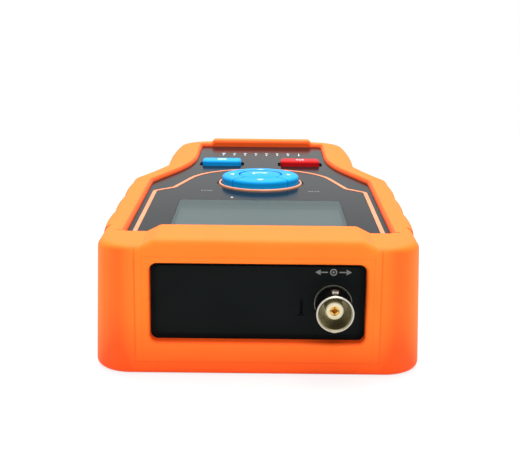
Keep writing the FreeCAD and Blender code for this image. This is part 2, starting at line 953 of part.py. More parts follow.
def lower_casing():
    shell = cut(
        "lower_shell",
        case_form("lower_blank", as_size(0), case_low, d.case_split),
        case_form("lower_hollow", -d.case_wall, floor_over, d.case_split + d.past),
    )
    additions = panel_ribs("lower_rib", d.port_width, rib_near, floor_over - d.bond, d.case_split)
    additions += panel_ribs("lower_far_rib", far_port_width, rib_far, floor_over - d.bond, d.case_split)
    additions.append(
        box(
            "bay_outside",
            across(bay_width + d.bay_wall * 2),
            (bay_near - d.bay_wall, bay_far + d.bay_wall),
            (floor_over - d.bond, bay_high + d.bay_roof),
        )
    )
    holes = [
        box("bay_inside", across(bay_width), (bay_near, bay_far), (case_low - d.past, bay_high)),
        form(
            "door_recess",
            rectangle(
                across(door_width + d.door_gap * 2),
                (door_near - d.door_gap, door_far + d.door_gap),
                d.door_edge_round + d.door_gap,
            ),
            case_low - d.past,
            bay_low,
        ),
        panel_opening("lower_panel_hole", d.port_width, d.port_low, port_high, case_near),
        panel_opening(
            "lower_far_hole", far_port_width, far_port_low, far_port_high, case_far - d.case_wall
        ),
    ]
    for number, (x, y) in enumerate(case_spots):
        boss = d.case_screw_head + (d.loose + d.case_boss_wall) * 2
        additions.append(rod(f"lower_boss_{number}", boss, d.case_split - case_low, x, y, case_low))
        head_hole = d.case_screw_head + d.loose * 2
        depth = d.case_screw_seat + d.past
        holes.append(rod(f"head_hole_{number}", head_hole, depth, x, y, case_low - d.past))
        shank_hole = d.case_screw_diameter + d.loose * 2
        holes.append(rod(f"shank_hole_{number}", shank_hole, d.case_split, x, y, case_low))
    for number, y in enumerate(door_spots):
        boss = d.door_screw_diameter + (d.loose + d.door_boss_wall) * 2
        reach = bay_low + d.door_screw_length - floor_over
        additions.append(rod(f"door_boss_{number}", boss, reach + d.bond, 0, y, floor_over - d.bond))
        hole = d.door_screw_diameter + d.loose * 2
        holes.append(rod(f"door_boss_hole_{number}", hole, d.door_screw_length + d.past, 0, y, case_low))
    for x, y in tail_spots():
        holes.append(
            box(
                f"tail_slot_{len(holes)}",
                across(d.tail_width + d.loose * 2, x),
                (y - d.loose, y + d.plate_thickness + d.loose),
                (bay_high - d.past, bay_high + d.bay_roof + d.past),
            )
        )
    node(cut("lower_casing", joined("lower_solid", shell, *additions), *holes))


def tail_spots():
    """Where the two end contacts of the row of cells pass up through the bay's roof."""
    return [(cell_spots[0], bay_far - d.plate_thickness), (cell_spots[2], bay_near)]


def accent_band(name, grow, low, high):
    """The band of the accent line: two rails that bend in to an arch round the key pad."""
    lean = math.cos(ACCENT_FLANK)
    fall = math.sin(ACCENT_FLANK)
    start = front + d.window_near_at + d.overlay_gap
    rail_side = window_side - d.accent_inset
    arc_y = pad_y + d.accent_arc_lead
    knee_y = arc_y - d.accent_knee_lead
    solids = []
    edges = (("outer", -grow, as_size(0)), ("inner", d.accent_width + grow, d.past))
    for part_name, inset, run_out in edges:
        rail = rail_side - inset
        slant = rail_side + knee_y - inset / DIAGONAL
        reach = rail_side - d.accent_arc_inset - inset
        hip = (reach - (slant - arc_y) * fall) / (lean - fall)
        right = [
            corner(rail, start - run_out),
            corner(rail, slant - rail, d.accent_knee_round - inset),
            corner(hip, slant - hip, d.accent_hip_round + inset),
            corner(reach * lean, arc_y + reach * fall),
        ]
        outline = mirrored(right, reach * (1 - fall))
        solids.append(form(f"{name}_{part_name}", outline, low - run_out, high + run_out))
    return cut(name, *solids)


def face_pieces():
    holes = [
        box(
            "overlay_lens_hole",
            across(d.lens_width + d.fit * 2),
            (lens_near - d.fit, lens_far + d.fit),
            (overlay_under - d.past, face + d.past),
        ),
        rod(
            "overlay_pad_hole",
            (ring_bore + d.ring_width + d.ring_moat) * 2,
            d.overlay_thickness + d.past * 2,
            0,
            pad_y,
            overlay_under - d.past,
        ),
        accent_band("accent_groove", d.fit / 2, face - d.accent_depth, face + d.past),
    ]
    for label, x in bar_spots.items():
        holes.append(
            bar_opening(f"{label}_overlay_hole", x, d.bar_gap, overlay_under - d.past, face + d.past)
        )
    node(cut("face_overlay", window_form("overlay_blank", d.overlay_gap, overlay_under, face), *holes))
    node(accent_band("accent_inlay", as_size(0), face - d.accent_depth, face + d.accent_proud))
    lens_depth = (face - d.lens_thickness, face)
    node(box("display_window", across(d.lens_width), (lens_near, lens_far), lens_depth))


def display():
    node(box("lcd_glass", across(glass_width), (glass_near, glass_far), (glass_low, glass_high)))
    lit = (glass_near, glass_far - d.backlight_setback)
    node(box("backlight", across(glass_width), lit, (board_high, glass_low)))
    rim_width = d.loose + d.lcd_frame_wall
    outside = box(
        "lcd_frame_outside",
        across(glass_width + rim_width * 2),
        (glass_near - rim_width, glass_far + rim_width),
        (board_high, lcd_high),
    )
    inside = box(
        "lcd_frame_inside",
        across(glass_width + d.loose * 2),
        (glass_near - d.loose, glass_far + d.loose),
        (board_high - d.past, glass_high),
    )
    view = box(
        "lcd_frame_view",
        across(glass_width - d.lcd_lip_reach * 2),
        (glass_near + d.lcd_lip_reach, glass_far - d.lcd_lip_reach),
        (glass_low, lcd_high + d.past),
    )
    notch = box(
        "lcd_frame_notch",
        across(d.ribbon_width + d.loose * 2),
        (glass_far, glass_far + rim_width + d.past),
        (board_high - d.past, board_high + d.ribbon_thickness + d.loose),
    )
    node(cut("lcd_frame", outside, inside, view, notch))
    ribbon_end = glass_far + d.ribbon_run
    ribbon = [
        corner(glass_far - d.ribbon_bond, glass_low - d.ribbon_thickness),
        corner(glass_far - d.ribbon_thickness, glass_low - d.ribbon_thickness),
        corner(glass_far - d.ribbon_thickness, board_high),
        corner(ribbon_end, board_high),
        corner(ribbon_end, board_high + d.ribbon_thickness),
        corner(glass_far, board_high + d.ribbon_thickness),
        corner(glass_far, glass_low),
        corner(glass_far - d.ribbon_bond, glass_low),
    ]
    half = d.ribbon_width / 2
    node(form("lcd_ribbon", ribbon, -half, half, "YZ_Plane"))
    node(
        box(
            "lcd_connector",
            across(d.ribbon_width + d.past * 2),
            (ribbon_end, ribbon_end + d.connector_length),
            (board_high, board_high + d.connector_height),
        )
    )


def nav_pad():
    """A round pad split by diagonal grooves into four arrow keys round one enter key, in a trim ring."""
    outer = ring_bore + d.ring_width
    top = face + d.ring_rise
    ring = [
        corner(ring_bore, roof_under),
        corner(ring_bore + d.ring_spigot, roof_under),
        corner(ring_bore + d.ring_spigot, overlay_under),
        corner(outer, overlay_under),
        corner(outer, top - d.ring_width / 2),
        corner(outer - d.ring_width / 2, top, bulge=d.ring_width * QUARTER_SWELL / 2),
        corner(ring_bore, top - d.ring_width / 2, bulge=d.ring_width * QUARTER_SWELL / 2),
    ]
    node(turned("nav_ring", ring, 0, pad_y, 0))
    radius = d.pad_diameter / 2
    core = d.enter_diameter / 2
    well = core + d.pad_groove
    brink = face + d.pad_rise
    crest = brink + d.pad_slope
    arrows = turned(
        "arrow_keys",
        [
            corner(well, key_low),
            corner(radius, key_low),
            corner(radius, flange_low),
            corner(radius + d.key_flange, flange_low),
            corner(radius + d.key_flange, flange_high),
            corner(radius, flange_high),
            corner(radius, brink - d.pad_edge),
            corner(radius - d.pad_edge, brink, bulge=d.pad_edge * QUARTER_SWELL),
            corner(well, crest),
        ],
        0,
        pad_y,
        0,
    )
    setback = d.pad_groove * DIAGONAL
    reach = d.pad_diameter
    out = setback + reach
    for label, (x, y) in ARROWS.items():
        wedge = [
            corner(setback * x, pad_y + setback * y),
            corner(out * x + reach * y, pad_y + out * y - reach * x),
            corner(out * x - reach * y, pad_y + out * y + reach * x),
        ]
        block = form(f"{label}_wedge", wedge, key_low - d.past, crest + d.past)
        node(shared(label, arrows, block))
    enter = [
        corner(0, key_low),
        corner(core, key_low),
        corner(core, crest - d.enter_edge),
        corner(core - d.enter_edge, crest, bulge=d.enter_edge * QUARTER_SWELL),
        corner(d.enter_flat_diameter / 2, crest + d.enter_dome, bulge=d.enter_dome / 6),
        corner(0, crest + d.enter_dome),
    ]
    node(turned("enter_key", enter, 0, pad_y, 0))


def bar_keys():
    for label, x in bar_spots.items():
        cap = bar_opening(f"{label}_cap", x, as_size(0), key_low, face + d.bar_rise, crown=d.bar_edge_round)
        flange = bar_opening(f"{label}_flange", x, d.key_flange, flange_low, flange_high)
        node(joined(label, cap, flange))


def keypad_mat():
    spots = [(as_size(0), pad_y)]
    spots += [(d.arrow_dome_radius * x, pad_y + d.arrow_dome_radius * y) for x, y in ARROWS.values()]
    spots += [(x, bar_y) for x in bar_spots.values()]
    span = (pad_y - d.mat_near_lead, bar_y + d.mat_far_lead)
    solids = [box("mat_sheet", across(d.mat_width), span, (board_high, mat_high))]
    hollows = []
    for number, (x, y) in enumerate(spots):
        outside = (as_size(0), as_size(0), solids)
        inside = (d.dome_wall, d.mat_thickness, hollows)
        for shrink, drop, pieces in (outside, inside):
            cone = doc.addObject("Part::Cone", f"dome_{number}_{len(pieces)}")
            bind(cone, "Radius1", d.dome_foot_diameter / 2 - shrink)
            bind(cone, "Radius2", d.dome_head_diameter / 2 - shrink)
            bind(cone, "Height", d.dome_height - shrink + drop)
            place(cone, x, y, mat_high - drop)
            pieces.append(cone)
    node(cut("keypad_mat", joined("mat_solid", *solids), *hollows))


def boards():
    wide = case_side - d.case_wall - d.board_edge_gap
    slim = d.waist_width / 2 - d.boot_side_wall - d.case_wall - d.board_waist_gap
    step = back - d.board_step_inset
    right = [
        corner(d.board_near_tongue_width / 2, front + d.board_near_at),
        corner(d.board_near_tongue_width / 2, front + d.board_near_step_at),
        corner(wide, front + d.board_near_step_at),
        corner(wide, shoulder - d.board_shoulder_lead),
        corner(slim, waist + d.board_waist_lag),
        corner(slim, step),
        corner(d.board_tongue_width / 2, step),
        corner(d.board_tongue_width / 2, back - d.board_far_inset),
    ]
    holes = []
    for number, (x, y) in enumerate(board_spots):
        hole = d.board_screw_diameter + d.loose * 2
        depth = d.board_thickness + d.past * 2
        holes.append(rod(f"board_hole_{number}", hole, depth, x, y, board_low - d.past))
    node(cut("main_board", form("board_blank", mirrored(right), board_low, board_high), *holes))
    chip_y = across(d.chip_size, front + d.chip_at)
    node(box("controller_chip", across(d.chip_size), chip_y, (board_low - d.chip_thickness, board_low)))
    driver_y = across(d.driver_length, front + d.driver_at)
    cans = [
        rod(
            f"capacitor_{number}",
            d.capacitor_diameter,
            d.capacitor_height,
            d.capacitor_x * side,
            front + d.driver_at,
            board_low - d.capacitor_height,
        )
        for number, side in enumerate((-1, 1))
    ]
    driver = box("driver_chip", across(d.driver_width), driver_y, (board_low - d.chip_thickness, board_low))
    node(set_of("board_parts", [driver] + cans))


def end_panel(name, width, low, high, face_span, flange_span, *holes):
    """A panel whose face fills the opening and whose flange is trapped behind the end wall."""
    sill = low - d.panel_lap
    lintel = high + d.panel_lap
    lip = d.panel_lap + d.panel_flange
    plate = box(f"{name}_face", across(width + d.panel_lap * 2), face_span, (sill, lintel))
    flange_height = (sill - d.panel_flange, roof_under - d.loose)
    flange = box(f"{name}_flange", across(width + lip * 2), flange_span, flange_height)
    node(cut(name, joined(f"{name}_solid", plate, flange), *holes))


def near_panel():
    step = case_near + d.case_wall + d.fit
    slot = box(
        "panel_slot",
        across(d.slot_width, jack_x - d.slot_offset),
        (case_near - d.past, case_near + d.slot_depth),
        (d.slot_low, d.slot_high),
    )
    slot_foot = box(
        "panel_slot_foot",
        across(d.slot_foot_width, jack_x - d.slot_offset),
        (case_near - d.past, case_near + d.slot_foot_depth),
        (d.slot_low - d.slot_foot_height, d.slot_low),
    )
    border_depth = (case_near - d.past, case_near + d.panel_border_depth)
    margin = d.panel_lap + d.past
    field = rectangle(
        across(d.port_width - d.panel_border * 2),
        (d.port_low + d.panel_border, port_high - d.panel_border),
        d.port_round - d.panel_border / 2,
    )
    border = cut(
        "panel_border_ring",
        box(
            "panel_border_outside",
            across(d.port_width + margin * 2),
            border_depth,
            (d.port_low - margin, port_high + margin),
        ),
        upright_form("panel_field", field, *border_depth),
    )
    hole_length = panel_back - case_near + d.past * 2
    start = (jack_x, case_near - d.past, d.jack_z)
    hole = rod("jack_hole", d.stem_diameter + d.fit, hole_length, *start, TOWARDS_FAR)
    spans = (case_near, step), (step, panel_back)
    end_panel("end_panel", d.port_width, d.port_low, port_high, *spans, slot, slot_foot, border, hole)


def far_panel():
    step = case_far - d.case_wall - d.fit
    hole = box(
        "socket_hole",
        across(d.socket_width + d.fit * 2),
        (step - d.panel_flange_thickness - d.past, case_far + d.past),
        (socket_low - d.fit, board_low + d.fit),
    )
    spans = (step, case_far), (step - d.panel_flange_thickness, step)
    end_panel("far_panel", far_port_width, far_port_low, far_port_high, *spans, hole)


def at_jack(make, name, *shape):
    return make(name, *shape, jack_x, case_near, d.jack_z, TOWARDS_FRONT)


def coaxial_jack():
    barrel = d.barrel_diameter / 2
    bore = d.barrel_bore / 2
    core = d.insulator_diameter / 2 + d.fit / 2
    stem = d.stem_diameter / 2
    body = at_jack(
        turned,
        "jack_body",
        [
            corner(core, -d.stem_length),
            corner(stem, -d.stem_length),
            corner(stem, 0),
            corner(d.collar_diameter / 2, 0),
            corner(d.collar_diameter / 2, d.collar_thickness),
            corner(barrel, d.collar_thickness),
            corner(barrel, jack_mouth - d.barrel_mouth_chamfer),
            corner(barrel - d.barrel_mouth_chamfer, jack_mouth),
            corner(bore + d.barrel_bore_flare, jack_mouth),
            corner(bore, jack_mouth - d.barrel_bore_flare),
            corner(bore, jack_mouth - d.barrel_bore_depth),
            corner(core, jack_mouth - d.barrel_bore_depth),
        ],
    )
    lug_y = case_near - jack_mouth + d.lug_setback
    root = bore + d.fit * 2
    lug = (d.lug_diameter, d.lug_span / 2 - root, jack_x, lug_y)
    lugs = [rod("lug_over", *lug, d.jack_z + root), rod("lug_under", *lug, d.jack_z - root, DOWN)]
    node(joined("bnc_shell", body, *lugs))
    pin = d.contact_diameter / 2
    sleeve = pin + d.fit / 2
    edge = d.insulator_diameter / 2
    node(
        at_jack(
            turned,
            "bnc_insulator",
            [
                corner(sleeve, stem_end),
                corner(edge, stem_end),
                corner(edge, insulator_front - d.barrel_mouth_chamfer),
                corner(edge - d.barrel_mouth_chamfer, insulator_front),
                corner(sleeve, insulator_front),
            ],
        )
    )
    tip = insulator_front - d.contact_setback
    socket = d.contact_bore / 2
    contact = at_jack(
        turned,
        "contact_body",
        [
            corner(0, stem_end - d.contact_tail),
            corner(pin, stem_end - d.contact_tail),
            corner(pin, tip),
            corner(socket, tip),
            corner(socket, tip - d.contact_bore_depth),
            corner(0, tip - d.contact_bore_depth),
        ],
    )
    tip_y = case_near - tip
    split = (tip_y - d.past, tip_y + d.contact_slot_depth)
    wide = d.contact_diameter + d.past
    slots = [
        box("contact_slot_flat", across(wide, jack_x), split, across(d.contact_slot, d.jack_z)),
        box("contact_slot_upright", across(d.contact_slot, jack_x), split, across(wide, d.jack_z)),
    ]
    node(cut("bnc_contact", contact, *slots))
    bore_of_ring = stem + d.fit / 2
    washer = [
        corner(bore_of_ring, 0),
        corner(d.washer_diameter / 2, 0),
        corner(d.washer_diameter / 2, d.washer_thickness),
        corner(bore_of_ring, d.washer_thickness),
    ]
    node(turned("bnc_washer", washer, jack_x, panel_back, d.jack_z, TOWARDS_FAR))
    flat = d.nut_across_flats / 2
    point = flat * HEXAGON_POINT
    hexagon = [
        corner(jack_x + point, d.jack_z),
        corner(jack_x + point / 2, d.jack_z + flat),
        corner(jack_x - point / 2, d.jack_z + flat),
        corner(jack_x - point, d.jack_z),
        corner(jack_x - point / 2, d.jack_z - flat),
        corner(jack_x + point / 2, d.jack_z - flat),
    ]
    nut_near = panel_back + d.washer_thickness
    blank = upright_form("nut_blank", hexagon, nut_near, nut_near + d.nut_thickness)
    hole_start = (jack_x, nut_near - d.past, d.jack_z)
    hole = rod("nut_hole", bore_of_ring * 2, d.nut_thickness + d.past * 2, *hole_start, TOWARDS_FAR)
    node(cut("bnc_nut", blank, hole))
    start = (jack_x, case_near - stem_end + d.contact_tail, d.jack_z)
    node(lead("bnc_lead", d.lead_diameter, d.lead_bend, start, 0, d.lead_run, board_low))


def network_socket():
    length = (case_far - d.socket_length, case_far)
    body = box("socket_body", across(d.socket_width), length, (socket_low, board_low))
    depth = (case_far - d.socket_mouth_depth, case_far + d.past)
    mouth = box("socket_mouth", across(d.socket_mouth_width), depth, (mouth_low, mouth_high))
    latch_low = mouth_low - d.socket_latch_height
    latch = box("socket_latch", across(d.socket_latch_width), depth, (latch_low, mouth_high))
    node(cut("jack_housing", body, mouth, latch))
    root = case_far - d.contact_strip_setback
    tip = root - d.contact_strip_length
    strip = [
        corner(tip, mouth_high - d.contact_strip_drop),
        corner(root, mouth_high - d.contact_strip_thickness),
        corner(root, mouth_high),
        corner(tip, mouth_high - d.contact_strip_drop + d.contact_strip_thickness),
    ]
    strips = []
    for number in range(SOCKET_CONTACTS):
        x = d.contact_pitch * (number - (SOCKET_CONTACTS - 1) / 2)
        low, high = across(d.contact_strip_width, x)
        strips.append(form(f"contact_strip_{number}", strip, low, high, "YZ_Plane"))
    node(set_of("jack_contacts", strips))


def batteries():
    cells = []
    plates = []
    springs = []
    size = d.plate_size
    tall = across(size, cell_z)
    for number, x in enumerate(cell_spots):
        to_far = number != 1
        radius = d.cell_diameter / 2
        nub = d.cell_nub_diameter / 2
        cell = [
            corner(0, 0),
            corner(radius - d.cell_edge_round, 0),
            corner(radius, d.cell_edge_round, bulge=d.cell_edge_round * QUARTER_SWELL),
            corner(radius, d.cell_length - d.cell_edge_round),
            corner(radius - d.cell_edge_round, d.cell_length, bulge=d.cell_edge_round * QUARTER_SWELL),
            corner(nub, d.cell_length),
            corner(nub, d.cell_length + d.cell_nub_length),
            corner(0, d.cell_length + d.cell_nub_length),
        ]
        room = d.plate_thickness + d.leaf_reach + d.bay_slack
        if to_far:
            cells.append(turned(f"cell_{number}", cell, x, bay_near + room, cell_z, TOWARDS_FAR))
            plus = (bay_far - d.plate_thickness, bay_far)
            minus = (bay_near, bay_near + d.plate_thickness)
            leaf_root = minus[1]
            leaf_tip = leaf_root + d.leaf_reach
        else:
            cells.append(turned(f"cell_{number}", cell, x, bay_far - room, cell_z, TOWARDS_FRONT))
            plus = (bay_near, bay_near + d.plate_thickness)
            minus = (bay_far - d.plate_thickness, bay_far)
            leaf_root = minus[0]
            leaf_tip = leaf_root - d.leaf_reach
        wide = (x - size / 2, x + size / 2) if number == 0 else (x - cell_pitch + size / 2, x + size / 2)
        plates.append(box(f"plus_plate_{number}", wide, plus, tall))
        leaf = [
            corner(leaf_root, cell_z + size / 2 - d.leaf_thickness * 2),
            corner(leaf_root, cell_z + size / 2),
            corner(leaf_tip, cell_z),
            corner(leaf_tip, cell_z - d.leaf_thickness * 2),
        ]
        low, high = across(d.leaf_width, x)
        strip = form(f"leaf_{number}", leaf, low, high, "YZ_Plane")
        plate = box(f"minus_plate_{number}", across(size, x), minus, tall)
        springs.append(joined(f"spring_{number}", plate, strip))
    tails = []
    for number, (x, y) in enumerate(tail_spots()):
        span = (y, y + d.plate_thickness)
        tails.append(box(f"tail_{number}", across(d.tail_width, x), span, (tall[1], tail_high)))
    plates[0] = joined("plus_plate_with_tail", plates[0], tails[0])
    springs[2] = joined("spring_with_tail", springs[2], tails[1])
    node(set_of("battery_cells", cells))
    node(set_of("battery_plates", plates))
    node(set_of("battery_springs", springs))
    lead_z = tail_high - d.battery_lead_diameter / 2
    leads = []
    for number, (x, y) in enumerate(tail_spots()):
        side = 1 if x.value < 0 else -1
        start = (x + d.tail_width * side / 2, y + d.plate_thickness / 2, lead_z)
        wire = (d.battery_lead_diameter, d.battery_lead_bend, start, -QUARTER_TURN * side)
        leads.append(lead(f"battery_lead_{number}", *wire, d.battery_lead_run, board_low))
    node(set_of("battery_leads", leads))


def battery_door():
    outline = rectangle(across(door_width), (door_near, door_far), d.door_edge_round)
    plate = form("door_plate", outline, case_low, case_low + d.door_thickness)
    holes = []
    for number in range(4):
        y = door_far - d.door_tab - d.door_grip_pitch * (number + 1)
        low = case_low - d.past
        holes.append(
            box(
                f"door_grip_{number}",
                across(d.door_grip_width),
                across(d.door_grip_pitch / 2, y),
                (low, case_low + d.door_grip_depth),
            )
        )
    for number, y in enumerate(door_spots):
        head = d.door_screw_head + d.loose * 2
        depth = d.door_screw_head_height + d.past
        holes.append(rod(f"door_head_hole_{number}", head, depth, 0, y, case_low - d.past))
        hole = d.door_screw_diameter + d.loose
        holes.append(rod(f"door_hole_{number}", hole, d.door_thickness + d.past, 0, y, case_low))
    node(cut("battery_door", plate, *holes))


def screw(name, diameter, head, head_height, length, x, y, z):
    """A pan-head screw that points up, its head's outer face at the given level."""
    profile = [
        corner(0, 0),
        corner(head / 2 - head_height / 3, 0),
        corner(head / 2, head_height / 3),
        corner(head / 2, head_height),
        corner(diameter / 2, head_height),
        corner(diameter / 2, head_height + length - diameter / 2),
        corner(diameter / 4, head_height + length),
        corner(0, head_height + length),
    ]
    return turned(name, profile, x, y, z)


def screws():
    case = (d.case_screw_diameter, d.case_screw_head, d.case_screw_head_height)
    case_length = d.case_split - case_seat + d.case_screw_bite
    case_z = case_seat - d.case_screw_head_height
    row = [screw(f"case_screw_{n}", *case, case_length, *spot, case_z) for n, spot in enumerate(case_spots)]
    node(set_of("case_screws", row))
    board = (d.board_screw_diameter, d.board_screw_head, d.board_screw_head_height)
    board_length = d.board_thickness + d.board_screw_bite
    board_z = board_low - d.board_screw_head_height
    board += (board_length,)
    row = [screw(f"board_screw_{n}", *board, *spot, board_z) for n, spot in enumerate(board_spots)]
    node(set_of("board_screws", row))
    door = (d.door_screw_diameter, d.door_screw_head, d.door_screw_head_height)
    length = d.door_screw_length - d.door_screw_head_height
    row = [screw(f"door_screw_{n}", *door, length, 0, y, case_low) for n, y in enumerate(door_spots)]
    node(set_of("door_screws", row))


rubber_boot()
upper_casing()
lower_casing()
face_pieces()
display()
nav_pad()
bar_keys()
keypad_mat()
boards()
near_panel()
far_panel()
coaxial_jack()
network_socket()
batteries()
battery_door()
screws()
doc.recompute()

# Nothing is written unless every piece came out sound
failed = [item.Name for item in doc.Objects if {"Invalid", "Error"} & set(item.State)]
if failed:
    raise RuntimeError(f"not built: {failed}")
for piece in nodes:
    if piece.Shape.isNull() or not piece.Shape.isValid():
        raise RuntimeError(f"{piece.Label} is not a sound solid")
os.makedirs("parts", exist_ok=True)
for piece in nodes:
    piece.Shape.exportStep(f"parts/{piece.Label}.step")
    print(piece.Label, len(piece.Shape.Solids), round(piece.Shape.Volume, 1))
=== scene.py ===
# Looks of a handheld ethernet cable tester in an orange rubber boot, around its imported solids.
import math

import bmesh
import bpy
from mathutils import Matrix, Vector
from mathutils.bvhtree import BVHTree


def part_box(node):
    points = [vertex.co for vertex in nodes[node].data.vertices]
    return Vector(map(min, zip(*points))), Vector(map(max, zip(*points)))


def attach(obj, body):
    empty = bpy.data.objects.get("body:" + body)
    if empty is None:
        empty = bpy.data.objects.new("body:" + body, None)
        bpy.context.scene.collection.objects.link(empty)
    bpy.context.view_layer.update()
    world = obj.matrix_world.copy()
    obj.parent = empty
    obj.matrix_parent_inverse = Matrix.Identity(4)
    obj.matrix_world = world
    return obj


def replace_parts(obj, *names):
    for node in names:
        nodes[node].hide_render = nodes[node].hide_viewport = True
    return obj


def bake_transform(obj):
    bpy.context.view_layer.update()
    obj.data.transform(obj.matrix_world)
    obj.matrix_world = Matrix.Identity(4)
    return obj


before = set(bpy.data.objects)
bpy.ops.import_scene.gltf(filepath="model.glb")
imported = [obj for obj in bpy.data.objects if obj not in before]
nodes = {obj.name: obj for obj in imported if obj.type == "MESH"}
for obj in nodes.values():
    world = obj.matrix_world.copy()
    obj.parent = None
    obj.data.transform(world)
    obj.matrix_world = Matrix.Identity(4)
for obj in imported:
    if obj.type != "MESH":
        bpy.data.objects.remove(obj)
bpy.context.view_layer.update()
scene = bpy.context.scene

MM = 0.001
BODY = "tester"
X_AXIS = Vector((1.0, 0.0, 0.0))
Y_AXIS = Vector((0.0, 1.0, 0.0))
Z_AXIS = Vector((0.0, 0.0, 1.0))

# The photograph's camera, in pixels, degrees and millimetres
IMAGE_WIDTH = 520
FOCAL_PIXELS = 1100
SENSOR = 36.0
CAMERA_AT = Vector((1.5, -360.2, 104.5)) * MM
CAMERA_PITCH = 13.646
CAMERA_YAW = 0.2246
CAMERA_ROLL = 0.55


def middle(node):
    low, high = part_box(node)
    return (low + high) / 2


# Places read from the solids
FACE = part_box("face_overlay")[1].z
PANEL_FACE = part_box("end_panel")[0].y
PAD = middle("enter_key")
JACK = middle("bnc_insulator")
JACK_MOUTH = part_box("bnc_shell")[0].y
LENS_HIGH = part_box("display_window")[1]

# Painted shade lines on the boot's front: along the apron's edge step, and a fainter frame inside it
APRON_HALF = 32.1 * MM
APRON_FOOT = 3.6 * MM
APRON_BROW = 32.1 * MM
FRAME_INSET = 1.9 * MM
FRAME_SHARE = 0.35
CREASE_SHADE_WIDTH = 0.35 * MM

# Points closer than this are one point
WELD = 0.001 * MM


def srgb(red, green, blue):
    """A colour as it looks on a screen, from 0 to 255, as the linear values that a shader takes."""
    shares = (red / 255, green / 255, blue / 255)
    return (*(s / 12.92 if s <= 0.04045 else ((s + 0.055) / 1.055) ** 2.4 for s in shares), 1.0)


# Node trees: their maths as expressions
class Signal:
    """A value in a node tree, whose sums become Math nodes."""

    def __init__(self, tree, socket):
        self.tree = tree
        self.socket = socket

    def __add__(self, other):
        return self.tree.sum_of("ADD", self, other)

    def __sub__(self, other):
        return self.tree.sum_of("SUBTRACT", self, other)

    def __rsub__(self, other):
        return self.tree.sum_of("SUBTRACT", other, self)

    def __mul__(self, other):
        return self.tree.sum_of("MULTIPLY", self, other)

    def __pow__(self, other):
        return self.tree.sum_of("POWER", self, other)

    def __abs__(self):
        return self.tree.sum_of("ABSOLUTE", self, 0.0)

    __radd__ = __add__
    __rmul__ = __mul__


# A colour mix's sockets, by place, since its other kinds of mix share their names
MIX_FACTOR = 0
MIX_FIRST = 6
MIX_SECOND = 7
MIX_COLOUR = 2


class Tree:
    """A node tree whose nodes are made one at a time, set up and linked."""

    def __init__(self, tree):
        self.tree = tree

    def put(self, socket, value):
        if isinstance(value, Signal):
            self.tree.links.new(value.socket, socket)
        else:
            socket.default_value = value

    def node(self, kind, settings=None, sockets=None, output=0):
        """A node of a kind, with its settings made first, then its sockets' values or links."""
        made = self.tree.nodes.new(kind)
        for name, value in (settings or {}).items():
            setattr(made, name, value)
        for name, value in (sockets or {}).items():
            self.put(made.inputs[name], value)
        return Signal(self, made.outputs[output])

    def sum_of(self, operation, first, second):
        return self.node("ShaderNodeMath", {"operation": operation}, {0: first, 1: second})

    def clamped(self, value, low=0.0, high=1.0):
        """The share, from 0 to 1, that a value has gone from low to high."""
        return self.node("ShaderNodeMapRange", {}, {"Value": value, "From Min": low, "From Max": high})

    def mix(self, factor, first, second):
        sockets = {MIX_FACTOR: factor, MIX_FIRST: first, MIX_SECOND: second}
        return self.node("ShaderNodeMix", {"data_type": "RGBA"}, sockets, MIX_COLOUR)

    def part(self, vector, axis):
        return self.node("ShaderNodeSeparateXYZ", {}, {"Vector": vector}, axis)


class Finish(Tree):
    """A material: constants on its shader, and patterns that follow the piece's own coordinates."""

    def __init__(self, name, **constants):
        self.material = bpy.data.materials.new(name)
        self.material.use_nodes = True
        super().__init__(self.material.node_tree)
        self.shader = self.tree.nodes["Principled BSDF"]
        for socket, value in constants.items():
            self.shader.inputs[socket.replace("_", " ")].default_value = value
        self.place = self.node("ShaderNodeTexCoord", output="Object")

    def axis(self, name):
        return self.part(self.place, name)

    def facing(self):
        return self.node("ShaderNodeNewGeometry", output="Normal")

    def distance(self, first, second):
        """How far the piece's points lie from an axis, from their offsets along the other two."""
        return (first * first + second * second) ** 0.5

    def noise(self, size, detail=2.0, stretch=None):
        """A cloudy pattern with patches of about the given size, from 0 to 1."""
        place = self.place
        if stretch:
            place = self.node("ShaderNodeMapping", {}, {"Vector": place, "Scale": stretch})
        return self.node("ShaderNodeTexNoise", {}, {"Vector": place, "Scale": 1 / size, "Detail": detail})

    def vector(self, operation, first, second, output=0):
        return self.node("ShaderNodeVectorMath", {"operation": operation}, {0: first, 1: second}, output)

    def ridge(self, value, centre, half):
        """1 where a value is at a centre, falling to 0 within a half width."""
        return 1 - self.clamped(abs(value - centre), 0.0, half)

    def wear(self, **signals):
        for socket, value in signals.items():
            self.put(self.shader.inputs[socket.replace("_", " ")], value)
        return self.material

    def bump(self, height, depth, strength=1.0):
        sockets = {"Height": height, "Distance": depth, "Strength": strength}
        return self.node("ShaderNodeBump", {}, sockets)


# Textures of moulded finishes: the size of the grain, and its depth
PRINT = (0.3 * MM, 0.002 * MM)
SMOOTH = (0.3 * MM, 0.004 * MM)
TRIM = (0.4 * MM, 0.004 * MM)
CREAMY = (0.4 * MM, 0.006 * MM)
SATIN = (0.3 * MM, 0.01 * MM)
PLAIN = (0.4 * MM, 0.01 * MM)
SOFT = (0.5 * MM, 0.01 * MM)
WAVY = (0.6 * MM, 0.01 * MM)
BROAD = (1 * MM, 0.01 * MM)
COARSE = (0.6 * MM, 0.03 * MM)
CLOUD_SIZE = 14 * MM
CLOUD_DETAIL = 3.0
GRAIN_SHEEN = 0.12
CLOUD_SHEEN = 0.1


